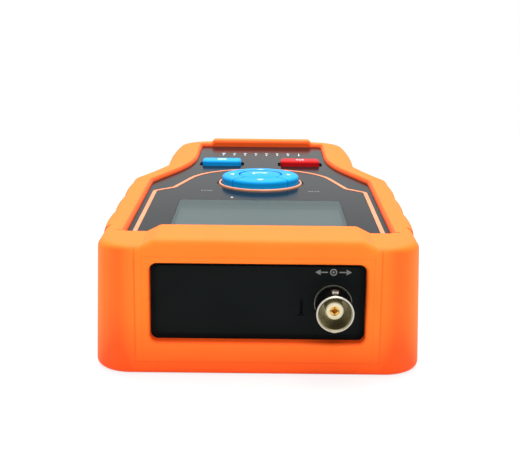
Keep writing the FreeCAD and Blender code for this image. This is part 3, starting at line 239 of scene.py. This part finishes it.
def moulded(name, colour, other, texture, rough, **constants):
    """A moulded finish: two close colours in clouds, fine grain and an uneven sheen."""
    finish = Finish(name, **constants)
    grain, depth = texture
    clouds = finish.noise(CLOUD_SIZE, CLOUD_DETAIL)
    fine = finish.noise(grain)
    return finish.wear(
        Base_Color=finish.mix(finish.clamped(clouds, 0.35, 0.65), colour, other),
        Roughness=rough + (fine - 0.5) * GRAIN_SHEEN + (clouds - 0.5) * CLOUD_SHEEN,
        Normal=finish.bump(fine, depth),
    )


def boot_rubber():
    """Orange rubber with a fine moulded grain, with painted shade: redder low down, beside the apron, on
    the walls that face inwards and along the creases of the apron's steps.
    """
    finish = Finish("boot_rubber", Specular_IOR_Level=0.12)
    cloud_size = 18 * MM
    grain_size = 0.35 * MM
    grain_depth = 0.02 * MM
    foot_reach = 22 * MM
    inner_reach = 12 * MM
    sill_top = 11 * MM
    sill_blur = 1 * MM
    flank_reach = 4 * MM
    flank_share = 0.6
    crease_shade_share = 0.55
    clouds = finish.noise(cloud_size, CLOUD_DETAIL)
    fine = finish.noise(grain_size)
    body = finish.mix(finish.clamped(clouds, 0.3, 0.7), srgb(253, 120, 34), srgb(255, 125, 39))
    height = finish.axis("Z")
    facing = finish.facing()

    # Painted shade: redder at the foot, and beside the apron
    foot = (1 - finish.clamped(height, 0.0, foot_reach)) ** 2.0
    aside = abs(finish.axis("X")) - APRON_HALF
    front = 1 - finish.clamped(finish.part(facing, "Y"), -0.9, -0.5)
    flank = finish.clamped(aside, 0.0, flank_reach) * front
    shaded = finish.mix(finish.clamped(foot + flank * flank_share), body, srgb(254, 84, 22))

    # Painted shade: deeper on the walls that face inwards and on the sill of the end's window
    level = finish.vector("MULTIPLY", finish.place, (1.0, 1.0, 0.0))
    inner = finish.clamped(0 - finish.vector("DOT_PRODUCT", facing, level, "Value"), 0.0, inner_reach)
    upwards = finish.clamped(finish.part(facing, "Z"), 0.2, 0.9)
    sill = upwards * (1 - finish.clamped(height, sill_top, sill_top + sill_blur))
    inner_shaded = finish.mix(finish.clamped(inner + sill), shaded, srgb(255, 92, 28))

    # Painted shade in the creases: along the apron's edge step, and fainter along the frame inside it
    beside = finish.ridge(aside, 0.0, CREASE_SHADE_WIDTH) * finish.clamped(height, APRON_FOOT - CREASE_SHADE_WIDTH, APRON_FOOT)
    below = finish.ridge(height - APRON_FOOT, 0.0, CREASE_SHADE_WIDTH) * (1 - finish.clamped(aside, 0.0, CREASE_SHADE_WIDTH))
    inset = aside + FRAME_INSET
    under_brow = 1 - finish.clamped(height, APRON_BROW, APRON_BROW + CREASE_SHADE_WIDTH)
    frame_sides = finish.ridge(inset, 0.0, CREASE_SHADE_WIDTH) * under_brow
    brow = finish.ridge(height, APRON_BROW, CREASE_SHADE_WIDTH) * (1 - finish.clamped(inset, 0.0, CREASE_SHADE_WIDTH))
    above = finish.clamped(height, APRON_FOOT, APRON_FOOT + CREASE_SHADE_WIDTH)
    crease_shade = finish.clamped(beside + below + (frame_sides + brow) * above * FRAME_SHARE) * front
    return finish.wear(
        Base_Color=finish.mix(crease_shade * crease_shade_share, inner_shaded, srgb(226, 74, 20)),
        Roughness=0.5 + (fine - 0.5) * 0.14 + (clouds - 0.5) * 0.12,
        Normal=finish.bump(fine, grain_depth, 0.6),
    )


def overlay_gloss():
    """Dark sheet with the faint ripple and speck of a printed film."""
    finish = Finish("overlay_gloss", Specular_IOR_Level=0.025)
    ripple_size = 22 * MM
    ripple_depth = 0.004 * MM
    speck_size = 0.3 * MM
    ripple = finish.noise(ripple_size)
    speck = finish.noise(speck_size, 1.0)
    return finish.wear(
        Base_Color=finish.mix(finish.clamped(speck, 0.4, 0.6), srgb(18, 24, 26), srgb(22, 28, 30)),
        Roughness=0.12 + ripple * 0.06,
        Normal=finish.bump(ripple, ripple_depth, 0.2),
    )


def display_window():
    """Clear hard-coated window."""
    finish = Finish("window_clear", Specular_IOR_Level=0.1, Alpha=0.5)
    smear_size = 16 * MM
    smear = finish.noise(smear_size)
    return finish.wear(
        Base_Color=finish.mix(smear, srgb(80, 98, 98), srgb(86, 104, 104)),
        Roughness=0.12 + smear * 0.1,
    )


def display_glass():
    """Grey display with a fine grid of cells and a darker strip along its far edge."""
    finish = Finish("display_grey", Specular_IOR_Level=0.2)
    pitch = 0.6 * MM
    strip = 7 * MM
    blur = 0.6 * MM
    cloud_size = 20 * MM
    cells = finish.node(
        "ShaderNodeTexBrick",
        {"offset": 0.0},
        {
            "Vector": finish.place,
            "Scale": 1 / pitch,
            "Brick Width": 1.0,
            "Row Height": 1.0,
            "Mortar Size": 0.05,
            "Color1": srgb(104, 114, 112),
            "Color2": srgb(107, 117, 115),
            "Mortar": srgb(98, 108, 106),
        },
        "Color",
    )
    clouds = finish.noise(cloud_size)
    edge = LENS_HIGH.y - strip
    far = finish.clamped(finish.axis("Y"), edge, edge + blur)
    screen = finish.mix(clouds * 0.3, cells, srgb(100, 110, 108))
    return finish.wear(
        Base_Color=finish.mix(far, screen, srgb(94, 99, 95)),
        Roughness=0.4 + clouds * 0.15,
    )


# Turning marks in metal: how they are drawn out, and how deep they are
TURNED = (1.0, 8.0, 1.0)
MARK_DEPTH = 0.004 * MM
MARK_STRENGTH = 0.4


def bright_metal(name, colour, dull, grain, rough):
    """Plated metal: fine turning marks and a slightly tarnished colour in patches."""
    finish = Finish(name, Metallic=1.0)
    patch_size = 3 * MM
    patches = finish.noise(patch_size, CLOUD_DETAIL)
    marks = finish.noise(grain, stretch=TURNED)
    return finish.wear(
        Base_Color=finish.mix(finish.clamped(patches, 0.35, 0.75), colour, dull),
        Roughness=rough + marks * 0.14,
        Normal=finish.bump(marks, MARK_DEPTH, MARK_STRENGTH),
    )


def jack_metal():
    """Nickel of the coaxial jack: khaki in the bore, bright at the mouth and the lugs, and dark outside,
    where a painted reflection of the dark panel darkens the barrel.
    """
    finish = Finish("jack_nickel", Metallic=1.0)
    grain = 0.3 * MM
    bore = 4.4 * MM
    barrel = 4.55 * MM
    collar = 4.87 * MM
    step = 0.06 * MM
    mouth_depth = 0.35 * MM
    radius = finish.distance(finish.axis("X") - JACK.x, finish.axis("Z") - JACK.z)
    marks = finish.noise(grain, stretch=TURNED)
    # Painted reflection: the barrel outside, behind the mouth, is darkened as if it mirrored the dark
    # panel
    within_collar = 1 - finish.clamped(radius, collar, collar + step)
    outside = finish.clamped(radius, barrel, barrel + step) * within_collar
    depth = finish.axis("Y") - JACK_MOUTH
    behind = finish.clamped(depth, mouth_depth, mouth_depth * 2)
    inside = 1 - finish.clamped(radius, bore, bore + step)
    bright = finish.mix(marks, srgb(214, 210, 196), srgb(186, 182, 166))
    lined = finish.mix(inside, bright, srgb(152, 144, 116))
    return finish.wear(
        Base_Color=finish.mix(outside * behind, lined, srgb(52, 50, 46)),
        Roughness=0.2 + marks * 0.12,
        Normal=finish.bump(marks, MARK_DEPTH, MARK_STRENGTH),
    )


def circuit_board():
    """Green board with copper tracks under the lacquer."""
    finish = Finish("board_green", Specular_IOR_Level=0.5)
    track_pitch = 2.4 * MM
    track_depth = 0.03 * MM
    cloud_size = 6 * MM
    tracks = finish.node(
        "ShaderNodeTexBrick",
        {"offset": 0.37, "squash": 0.6},
        {
            "Vector": finish.place,
            "Scale": 1 / track_pitch,
            "Brick Width": 1.6,
            "Row Height": 0.5,
            "Mortar Size": 0.05,
        },
        "Fac",
    )
    clouds = finish.noise(cloud_size)
    base = finish.mix(clouds, srgb(16, 84, 46), srgb(22, 98, 56))
    return finish.wear(
        Base_Color=finish.mix(tracks * 0.7, base, srgb(58, 140, 84)),
        Roughness=0.28 + clouds * 0.16,
        Normal=finish.bump(tracks, track_depth),
    )


def cell_jacket():
    """Dark battery jacket with a copper-coloured end and an uneven sheen."""
    finish = Finish("cell_jacket")
    cloud_size = 4 * MM
    copper_from = 0.70
    copper_by = 0.705
    low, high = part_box("battery_cells")
    length = finish.clamped(finish.axis("Y"), low.y, high.y)
    band = finish.clamped(length, copper_from, copper_by)
    clouds = finish.noise(cloud_size)
    jacket = finish.mix(clouds, srgb(34, 36, 40), srgb(44, 46, 52))
    return finish.wear(
        Base_Color=finish.mix(band, jacket, srgb(196, 120, 62)),
        Roughness=0.26 + clouds * 0.14,
        Metallic=band * 0.5,
    )


BLUE = (srgb(4, 150, 228), srgb(10, 158, 234))
RED = (srgb(198, 20, 26), srgb(206, 26, 32))
PANEL_SPECULAR = 0.05
BLUE_SPECULAR = 0.08
RED_SPECULAR = 0.04
finishes = {
    "boot": boot_rubber(),
    "panel": moulded(
        "panel_black",
        srgb(13, 18, 18),
        srgb(16, 21, 21),
        SMOOTH,
        0.45,
        Specular_IOR_Level=PANEL_SPECULAR,
    ),
    "casing": moulded("casing_black", srgb(34, 36, 38), srgb(40, 42, 44), COARSE, 0.6),
    "overlay": overlay_gloss(),
    "accent": moulded("accent_orange", srgb(236, 132, 82), srgb(242, 140, 92), TRIM, 0.4),
    "ring": moulded("ring_salmon", srgb(240, 162, 122), srgb(246, 170, 132), TRIM, 0.4),
    "window": display_window(),
    "display": display_glass(),
    "bezel": moulded("bezel_grey", srgb(112, 121, 119), srgb(118, 127, 125), WAVY, 0.5),
    "backlight": moulded("backlight_white", srgb(228, 230, 230), srgb(240, 240, 238), BROAD, 0.4),
    "blue": moulded("key_blue", *BLUE, SMOOTH, 0.4, Specular_IOR_Level=BLUE_SPECULAR),
    "red": moulded("key_red", *RED, SMOOTH, 0.4, Specular_IOR_Level=RED_SPECULAR),
    "mat": moulded("mat_silicone", srgb(120, 124, 128), srgb(132, 136, 140), SOFT, 0.55),
    "board": circuit_board(),
    "chip": moulded("chip_black", srgb(26, 26, 28), srgb(34, 34, 36), SATIN, 0.5),
    "ribbon": moulded("ribbon_amber", srgb(186, 116, 40), srgb(204, 132, 52), BROAD, 0.35),
    "cream": moulded("cream_plastic", srgb(240, 228, 190), srgb(246, 236, 205), CREAMY, 0.42),
    "jack": jack_metal(),
    "nickel": bright_metal("nickel", srgb(206, 202, 190), srgb(178, 174, 160), 0.25 * MM, 0.16),
    "gold": bright_metal("contact_gold", srgb(232, 184, 92), srgb(206, 150, 62), 0.2 * MM, 0.18),
    "socket": moulded("socket_black", srgb(28, 28, 30), srgb(34, 34, 36), PLAIN, 0.45),
    "cell": cell_jacket(),
    "wire": moulded("wire_red", srgb(186, 34, 28), srgb(200, 44, 36), WAVY, 0.4),
    "steel": bright_metal("screw_steel", srgb(150, 152, 156), srgb(120, 122, 126), 0.3 * MM, 0.26),
    "ink": moulded("sign_white", srgb(214, 224, 230), srgb(226, 234, 238), PRINT, 0.5),
    "grey_ink": moulded("sign_grey", srgb(112, 118, 116), srgb(122, 128, 126), PRINT, 0.5),
}
WORN_BY = {
    "boot": ["rubber_boot"],
    "panel": ["end_panel", "far_panel"],
    "casing": ["upper_casing", "lower_casing", "battery_door"],
    "overlay": ["face_overlay"],
    "accent": ["accent_inlay"],
    "ring": ["nav_ring"],
    "window": ["display_window"],
    "display": ["lcd_glass"],
    "bezel": ["lcd_frame"],
    "backlight": ["backlight"],
    "blue": ["up_key", "right_key", "down_key", "left_key", "enter_key", "function_key"],
    "red": ["power_key"],
    "mat": ["keypad_mat"],
    "board": ["main_board"],
    "chip": ["controller_chip", "board_parts"],
    "ribbon": ["lcd_ribbon"],
    "cream": ["lcd_connector", "bnc_insulator"],
    "jack": ["bnc_shell"],
    "nickel": ["bnc_washer", "bnc_nut", "battery_plates", "battery_springs"],
    "gold": ["bnc_contact", "jack_contacts"],
    "socket": ["jack_housing"],
    "cell": ["battery_cells"],
    "wire": ["bnc_lead", "battery_leads"],
    "steel": ["case_screws", "board_screws", "door_screws"],
}
for finish_name, wearers in WORN_BY.items():
    for node_name in wearers:
        for slot in nodes[node_name].material_slots:
            slot.material = finishes[finish_name]


# Pieces of the scene
def piece_of(name, mesh, body):
    """A plain mesh as a piece that rides on a body."""
    piece = bpy.data.objects.new(name, mesh)
    scene.collection.objects.link(piece)
    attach(piece, body)
    return piece


# Printed signs: outlines in millimetres, as the tester's user sees them
INK_PROUD = 0.02 * MM
INK_DEPTH = 0.12 * MM
INK_REACH = 5 * MM
SIGN_CUTS = 3
ARC_STEPS = 20
MITRE_LIMIT = 0.3


def arc(radius, start, end, centre=(0.0, 0.0)):
    """Points along an arc, with its angles in degrees."""
    angles = [math.radians(start + (end - start) * n / ARC_STEPS) for n in range(ARC_STEPS + 1)]
    return [(centre[0] + radius * math.cos(a), centre[1] + radius * math.sin(a)) for a in angles]


def line(points, width):
    """The outline of a line of some width through points, with mitred bends and square ends."""
    points = [Vector(point) for point in points]
    steps = [(b - a).normalized() for a, b in zip(points, points[1:])]
    sides = []
    for place, before, after in zip(points, [steps[0], *steps], [*steps, steps[-1]]):
        along = (before + after).normalized()
        reach = width / 2 / max(along.dot(before), MITRE_LIMIT)
        sides.append(Vector((-along.y, along.x)) * reach)
    left = [tuple(p + s) for p, s in zip(points, sides)]
    right = [tuple(p - s) for p, s in zip(points, sides)]
    return left + right[::-1]


def disc(radius, centre):
    return arc(radius, 0, 360, centre)[:-1]


def ring(radius, width):
    """The outlines of a ring's short pieces, which meet all the way round."""
    rim = arc(radius + width / 2, 0, 360)
    hole = arc(radius - width / 2, 0, 360)
    return list(zip(rim, rim[1:], hole[1:], hole))


def drawn(outlines):
    """Flat faces of outlines."""
    shape = bmesh.new()
    for outline in outlines:
        shape.faces.new([shape.verts.new((x * MM, y * MM, 0)) for x, y in outline])
    bmesh.ops.triangulate(shape, faces=shape.faces[:])
    bmesh.ops.remove_doubles(shape, verts=shape.verts[:], dist=WELD)
    bmesh.ops.subdivide_edges(shape, edges=shape.edges[:], cuts=SIGN_CUTS, use_grid_fill=True)
    return shape


def lettered(marks, size):
    """Flat faces of short texts, each centred at its own place."""
    shape = bmesh.new()
    for text, x, y in marks:
        curve = bpy.data.curves.new("mark", "FONT")
        curve.body = text
        curve.size = size * MM
        curve.align_x = "CENTER"
        curve.align_y = "CENTER"
        holder = bpy.data.objects.new("mark", curve)
        flat = bpy.data.meshes.new_from_object(holder)
        flat.transform(Matrix.Translation((x * MM, y * MM, 0.0)))
        shape.from_mesh(flat)
        bpy.data.objects.remove(holder)
    bmesh.ops.remove_doubles(shape, verts=shape.verts[:], dist=WELD)
    return shape


def printed(name, body, node, shape, origin, right, up, ink):
    """A sign on a node: flat faces laid on the surface under them and given the ink's thickness."""
    outwards = right.cross(up)
    surface = BVHTree.FromObject(nodes[node], bpy.context.evaluated_depsgraph_get())
    for vertex in shape.verts:
        above = origin + right * vertex.co.x + up * vertex.co.y + outwards * INK_REACH
        ground = surface.ray_cast(above, -outwards)[0]
        vertex.co = ground - outwards * (INK_DEPTH - INK_PROUD)
    raised = bmesh.ops.extrude_face_region(shape, geom=shape.faces[:])["geom"]
    for element in raised:
        if isinstance(element, bmesh.types.BMVert):
            element.co += outwards * INK_DEPTH
    bmesh.ops.recalc_face_normals(shape, faces=shape.faces[:])
    mesh = bpy.data.meshes.new(name)
    shape.to_mesh(mesh)
    shape.free()
    mesh.materials.append(finishes[ink])
    return piece_of(name, mesh, body)


def on_key(name, node, outlines, origin=None):
    """A white sign on a key's top, turned to the user, who looks from the jack's other end."""
    origin = origin or middle(node)
    printed(f"{name}_sign", f"{node}_cap", node, drawn(outlines), origin, -X_AXIS, -Y_AXIS, "ink")


ARROW_AT = 9.7 * MM
ARROW_HALF = 1.25
ARROW_RISE = 1.5
ARROWS = {"up_key": (0, 1), "right_key": (1, 0), "down_key": (0, -1), "left_key": (-1, 0)}
for arrow_key, (across, ahead) in ARROWS.items():
    tip = (across * ARROW_RISE / 2, ahead * ARROW_RISE / 2)
    heel = (-tip[0], -tip[1])
    wing = (ahead * ARROW_HALF, across * ARROW_HALF)
    triangle = [tip, (heel[0] - wing[0], heel[1] + wing[1]), (heel[0] + wing[0], heel[1] - wing[1])]
    spot = Vector((PAD.x - across * ARROW_AT, PAD.y - ahead * ARROW_AT, PAD.z))
    on_key(arrow_key, arrow_key, [triangle], spot)

RETURN_STROKE = 0.7
return_hook = line([(2.3, 1.4), (2.3, -0.5), (-1.2, -0.5)], RETURN_STROKE)
return_head = [(-2.6, -0.5), (-1.1, -1.5), (-1.1, 0.5)]
on_key("enter", "enter_key", [return_hook, return_head])

POWER_STROKE = 0.42
POWER_RADIUS = 1.25
power_loop = line(arc(POWER_RADIUS, 125, 415, (0.0, -0.1)), POWER_STROKE)
power_bar = line([(0.0, 0.1), (0.0, 1.5)], POWER_STROKE)
on_key("power", "power_key", [power_loop, power_bar])

MENU_BAR = 3.2
MENU_STROKE = 0.5
MENU_ROWS = (-1.1, 0.0, 1.1)
menu_bars = [line([(-MENU_BAR / 2, y), (MENU_BAR / 2, y)], MENU_STROKE) for y in MENU_ROWS]
on_key("function", "function_key", menu_bars)

# Printed row of the eight wires, with ticks, at the face's far end
WIRES = 8
WIRE_PITCH = 4.2
DIGIT_SIZE = 3.0
ROW_AT = Vector((0.0, 68.9 * MM, FACE))
wire_x = [(n - (WIRES - 1) / 2) * WIRE_PITCH for n in range(WIRES)]
digits = [(str(n + 1), x, 0.0) for n, x in enumerate(wire_x)]
numbers = lettered(digits, DIGIT_SIZE)
printed("wire_numbers", BODY, "face_overlay", numbers, ROW_AT, -X_AXIS, -Y_AXIS, "ink")

# Small marks on the face by the display, and above the jack
MARK_AT = 17.6 * MM
MARK_Y = -6.0 * MM
MARK_STROKE = 0.45
MARK_HALF = 0.55
MARK_PLACES = (-1.5, -0.5, 0.5)
marks = [line([(x, -MARK_HALF), (x, MARK_HALF)], MARK_STROKE) for x in MARK_PLACES]
pointer = [(1.1, -0.6), (2.1, 0.0), (1.1, 0.6)]
for side, name in ((1, "left"), (-1, "right")):
    spot = Vector((-side * MARK_AT, MARK_Y, FACE))
    shape = drawn([*marks, pointer])
    printed(f"{name}_mark", BODY, "face_overlay", shape, spot, X_AXIS * side, Y_AXIS * side, "grey_ink")

DOT_AT = Vector((-8.9 * MM, -16.6 * MM, FACE))
DOT_RADIUS = 0.45
dot = drawn([disc(DOT_RADIUS, (0.0, 0.0))])
printed("dot_mark", BODY, "face_overlay", dot, DOT_AT, X_AXIS, Y_AXIS, "ink")

JACK_SIGN_RISE = 8.1 * MM
JACK_STROKE = 0.32
JACK_RING = 0.8
JACK_DOT = 0.3
jack_sign = [
    *ring(JACK_RING, JACK_STROKE),
    disc(JACK_DOT, (0.0, 0.0)),
    line([(1.5, 0.0), (3.6, 0.0)], JACK_STROKE),
    [(3.4, -0.75), (4.8, 0.0), (3.4, 0.75)],
    line([(-1.5, 0.0), (-3.6, 0.0)], JACK_STROKE),
    [(-3.4, 0.75), (-4.8, 0.0), (-3.4, -0.75)],
]
sign_at = Vector((JACK.x, PANEL_FACE, JACK.z + JACK_SIGN_RISE))
printed("jack_sign", BODY, "end_panel", drawn(jack_sign), sign_at, X_AXIS, Z_AXIS, "grey_ink")


# Repeated pieces: geometry trees grown on points
ROUND_SIDES = 32


class Growth(Tree):
    """A geometry tree with named sizes, that puts one shape on each point of a mesh."""

    def __init__(self, name, sizes):
        super().__init__(bpy.data.node_groups.new(name, "GeometryNodeTree"))
        self.sizes = sizes
        self.socket("Geometry", "INPUT", "NodeSocketGeometry")
        self.socket("Geometry", "OUTPUT", "NodeSocketGeometry")
        self.names = {}
        for size in sizes:
            self.names[size] = self.socket(size, "INPUT", "NodeSocketFloat").identifier
        self.names["Finish"] = self.socket("Finish", "INPUT", "NodeSocketMaterial").identifier
        self.start = self.tree.nodes.new("NodeGroupInput")

    def socket(self, name, direction, kind):
        return self.tree.interface.new_socket(name, in_out=direction, socket_type=kind)

    def given(self, name):
        return Signal(self, self.start.outputs[name])

    def triple(self, x, y, z):
        return self.node("ShaderNodeCombineXYZ", {}, {"X": x, "Y": y, "Z": z})

    def box(self, x, y, z):
        return self.node("GeometryNodeMeshCube", {}, {"Size": self.triple(x, y, z)})

    def lifted(self, shape, height):
        moved = {"Geometry": shape, "Translation": self.triple(0.0, 0.0, height)}
        return self.node("GeometryNodeTransform", {}, moved)

    def cone(self, low, high, height):
        sockets = {"Vertices": ROUND_SIDES, "Radius Top": high, "Radius Bottom": low, "Depth": height}
        return self.node("GeometryNodeMeshCone", {}, sockets)

    def joined(self, *shapes):
        made = self.tree.nodes.new("GeometryNodeJoinGeometry")
        for shape in shapes:
            self.put(made.inputs[0], shape)
        return Signal(self, made.outputs[0])

    def spread(self, shape):
        """Ends the tree: the shape on each point, made real, with its finish."""
        placed = self.node(
            "GeometryNodeInstanceOnPoints", {}, {"Points": self.given("Geometry"), "Instance": shape}
        )
        real = self.node("GeometryNodeRealizeInstances", {}, {"Geometry": placed})
        finished = self.node(
            "GeometryNodeSetMaterial", {}, {"Geometry": real, "Material": self.given("Finish")}
        )
        end = self.tree.nodes.new("NodeGroupOutput")
        self.put(end.inputs["Geometry"], finished)

    def grown(self, name, points, material):
        """The plain mesh that the tree makes on points."""
        seeds = bpy.data.meshes.new(name)
        seeds.from_pydata(points, [], [])
        holder = bpy.data.objects.new(name, seeds)
        scene.collection.objects.link(holder)
        modifier = holder.modifiers.new("growth", "NODES")
        modifier.node_group = self.tree
        for size, value in self.sizes.items():
            modifier[self.names[size]] = value
        modifier[self.names["Finish"]] = material
        seen_from = bpy.context.evaluated_depsgraph_get()
        mesh = bpy.data.meshes.new_from_object(holder.evaluated_get(seen_from))
        holder.modifiers.remove(modifier)
        bpy.data.objects.remove(holder)
        return mesh


def ticks():
    """A tick over each number of the wire row."""
    tree = Growth("tick_row", {"Width": 0.5 * MM, "Length": 1.8 * MM, "Thickness": INK_DEPTH})
    tree.spread(tree.box(tree.given("Width"), tree.given("Length"), tree.given("Thickness")))
    over = 3.4 * MM
    level = FACE + INK_PROUD - INK_DEPTH / 2
    points = [(x * MM, ROW_AT.y - over, level) for x in wire_x]
    piece_of("wire_ticks", tree.grown("wire_ticks", points, finishes["ink"]), BODY)


def welded(node):
    """A node's mesh as one skin, without the doubled points along its edges."""
    shape = bmesh.new()
    shape.from_mesh(nodes[node].data)
    bmesh.ops.remove_doubles(shape, verts=shape.verts[:], dist=WELD)
    return shape


def islands(node):
    """The boxes of a node's separate solids, as low and high corners."""
    shape = welded(node)
    left = set(shape.verts)
    boxes = []
    while left:
        found = [left.pop()]
        for vertex in found:
            near = {edge.other_vert(vertex) for edge in vertex.link_edges} & left
            left -= near
            found.extend(near)
        spans = [[vertex.co[axis] for vertex in found] for axis in range(3)]
        boxes.append((Vector([min(span) for span in spans]), Vector([max(span) for span in spans])))
    shape.free()
    return boxes


# A screw's sizes as shares: of its head's radius, of its head's height, and of its shank
FACE_SHARE = 0.8
CROSS_SHARE = 1.1
CROSS_WIDTH_SHARE = 0.26
CROSS_DEPTH_SHARE = 0.6
POINT_SHARE = 0.7


def cross_screws(node, body, shank, head_height):
    """Screws with a cross recess, their heads down, in the place of a node's plain ones."""
    boxes = islands(node)
    low, high = boxes[0]
    head = (high.x - low.x) / 2
    tree = Growth(
        f"{node}_growth",
        {
            "Head": head,
            "Face": head * FACE_SHARE,
            "Head height": head_height,
            "Shank": shank / 2,
            "Length": high.z - low.z - head_height,
            "Cross": head * CROSS_SHARE,
            "Cross width": head * CROSS_WIDTH_SHARE,
            "Cross depth": head_height * CROSS_DEPTH_SHARE,
        },
    )
    crown = tree.cone(tree.given("Face"), tree.given("Head"), tree.given("Head height"))
    depth = tree.given("Cross depth") * 2
    arms = tree.joined(
        tree.box(tree.given("Cross"), tree.given("Cross width"), depth),
        tree.box(tree.given("Cross width"), tree.given("Cross"), depth),
    )
    recessed = tree.tree.nodes.new("GeometryNodeMeshBoolean")
    recessed.operation = "DIFFERENCE"
    recessed.solver = "EXACT"
    recessed.inputs["Self Intersection"].default_value = True
    tree.put(recessed.inputs[0], crown)
    tree.put(recessed.inputs[1], arms)
    headed = Signal(tree, recessed.outputs[0])
    stem = tree.cone(tree.given("Shank"), tree.given("Shank") * POINT_SHARE, tree.given("Length"))
    tree.spread(tree.joined(headed, tree.lifted(stem, tree.given("Head height"))))
    points = [((a.x + b.x) / 2, (a.y + b.y) / 2, a.z) for a, b in boxes]
    name = f"{node}_cross"
    mesh = tree.grown(name, points, finishes["steel"])
    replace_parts(piece_of(name, mesh, body), node)


ticks()
cross_screws("case_screws", BODY, 2.4 * MM, 1.8 * MM)
cross_screws("board_screws", BODY, 1.8 * MM, 1.4 * MM)
cross_screws("door_screws", "door", 2.2 * MM, 1.0 * MM)


# The key pad's mat: its sheet rides on the tester, and each key's dome is cut out as a piece of its own
MAT = "keypad_mat"
DOMED_KEYS = (*ARROWS, "enter_key", "function_key", "power_key")
KEY_SPOTS = {key: middle(key).xy for key in DOMED_KEYS}
DOME_HEIGHT = 1.2 * MM
DOME_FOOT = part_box(MAT)[1].z - DOME_HEIGHT


def nearest_key(place):
    return min(KEY_SPOTS, key=lambda key: (KEY_SPOTS[key] - place.xy).length)


def mat_part(name, above, keys):
    """The mat above or below the foot of its domes, at some of the keys, closed where it is cut."""
    shape = welded(MAT)
    every = shape.verts[:] + shape.edges[:] + shape.faces[:]
    bmesh.ops.bisect_plane(
        shape,
        geom=every,
        dist=WELD,
        plane_co=(0.0, 0.0, DOME_FOOT),
        plane_no=Z_AXIS,
        clear_inner=above,
        clear_outer=not above,
    )
    if above:
        flat = [f for f in shape.faces if all(abs(v.co.z - DOME_FOOT) < WELD for v in f.verts)]
        bmesh.ops.delete(shape, geom=flat, context="FACES")
        others = [v for v in shape.verts if nearest_key(v.co) not in keys]
        bmesh.ops.delete(shape, geom=others, context="VERTS")
    for key in keys:
        rims = [e for e in shape.edges if e.is_boundary and nearest_key(e.verts[0].co) == key]
        bmesh.ops.bridge_loops(shape, edges=rims)
    bmesh.ops.recalc_face_normals(shape, faces=shape.faces[:])
    mesh = bpy.data.meshes.new(name)
    shape.to_mesh(mesh)
    shape.free()
    mesh.materials.append(finishes["mat"])
    return mesh


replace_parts(piece_of("mat_sheet", mat_part("mat_sheet", False, DOMED_KEYS), BODY), MAT)
for domed_key in DOMED_KEYS:
    dome_name = f"{domed_key}_dome"
    dome = bpy.data.objects.new(dome_name, mat_part(dome_name, True, [domed_key]))
    scene.collection.objects.link(dome)
    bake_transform(dome)
    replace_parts(dome, MAT)


# The studio: a pale floor, soft light and the photograph's camera
AMBIENT = 0.45
FLOOR_SIZE = 6.0
FLOOR_NEAR = 0.12
FLOOR_FAR = 0.45
FLOOR_GLOW = 0.8


def seen(tree):
    """1 where the camera, a reflection or a clear window looks straight at the background."""
    path = tree.tree.nodes.new("ShaderNodeLightPath")
    rays = [Signal(tree, path.outputs[f"Is {kind} Ray"]) for kind in ("Camera", "Glossy", "Transmission")]
    return tree.clamped(rays[0] + rays[1] + rays[2])


def studio_world():
    world = bpy.data.worlds.new("studio")
    scene.world = world
    world.use_nodes = True
    tree = Tree(world.node_tree)
    background = world.node_tree.nodes["Background"]
    background.inputs["Color"].default_value = (1.0, 1.0, 1.0, 1.0)
    tree.put(background.inputs["Strength"], AMBIENT + seen(tree) * (1 - AMBIENT))


def studio_floor():
    """A pale floor that keeps the object's shadow near it and goes white further off."""
    mesh = bpy.data.meshes.new("floor")
    half = FLOOR_SIZE / 2
    corners = [(-half, -half, 0), (half, -half, 0), (half, half, 0), (-half, half, 0)]
    mesh.from_pydata(corners, [], [(0, 1, 2, 3)])
    floor = bpy.data.objects.new("floor", mesh)
    scene.collection.objects.link(floor)
    finish = Finish("floor_pale", Base_Color=(0.9, 0.9, 0.9, 1.0), Roughness=0.7)
    away = finish.distance(finish.axis("X"), finish.axis("Y"))
    glow = FLOOR_GLOW + finish.clamped(away, FLOOR_NEAR, FLOOR_FAR) * (1 - FLOOR_GLOW)
    white = finish.node("ShaderNodeEmission", {}, {"Color": (1.0, 1.0, 1.0, 1.0)})
    pale = Signal(finish, finish.shader.outputs[0])
    both = finish.node("ShaderNodeMixShader", {}, {0: seen(finish) * glow, 1: pale, 2: white})
    finish.put(finish.tree.nodes["Material Output"].inputs["Surface"], both)
    mesh.materials.append(finish.material)


def softbox(name, place, target, size, power):
    lamp = bpy.data.lights.new(name, "AREA")
    lamp.shape = "SQUARE"
    lamp.size = size
    lamp.energy = power
    holder = bpy.data.objects.new(name, lamp)
    holder.location = place
    holder.rotation_euler = (Vector(target) - Vector(place)).to_track_quat("-Z", "Y").to_euler()
    scene.collection.objects.link(holder)


def photograph_camera():
    lens = bpy.data.cameras.new("camera")
    lens.sensor_width = SENSOR
    lens.lens = FOCAL_PIXELS / IMAGE_WIDTH * SENSOR
    camera = bpy.data.objects.new("camera", lens)
    turn = Matrix.Rotation(math.radians(CAMERA_YAW), 4, "Z")
    tilt = Matrix.Rotation(math.radians(90 - CAMERA_PITCH), 4, "X")
    roll = Matrix.Rotation(math.radians(CAMERA_ROLL), 4, "Z")
    camera.matrix_world = Matrix.Translation(CAMERA_AT) @ turn @ tilt @ roll
    scene.collection.objects.link(camera)
    scene.camera = camera


scene.view_settings.view_transform = "Standard"
studio_world()
studio_floor()
softbox("overhead", place=(0.0, 0.12, 0.8), target=(0.0, 0.0, 0.03), size=0.8, power=12.5)
softbox("front_fill", place=(0.1, -1.1, 0.6), target=(0.0, -0.05, 0.02), size=0.9, power=4.0)
photograph_camera()
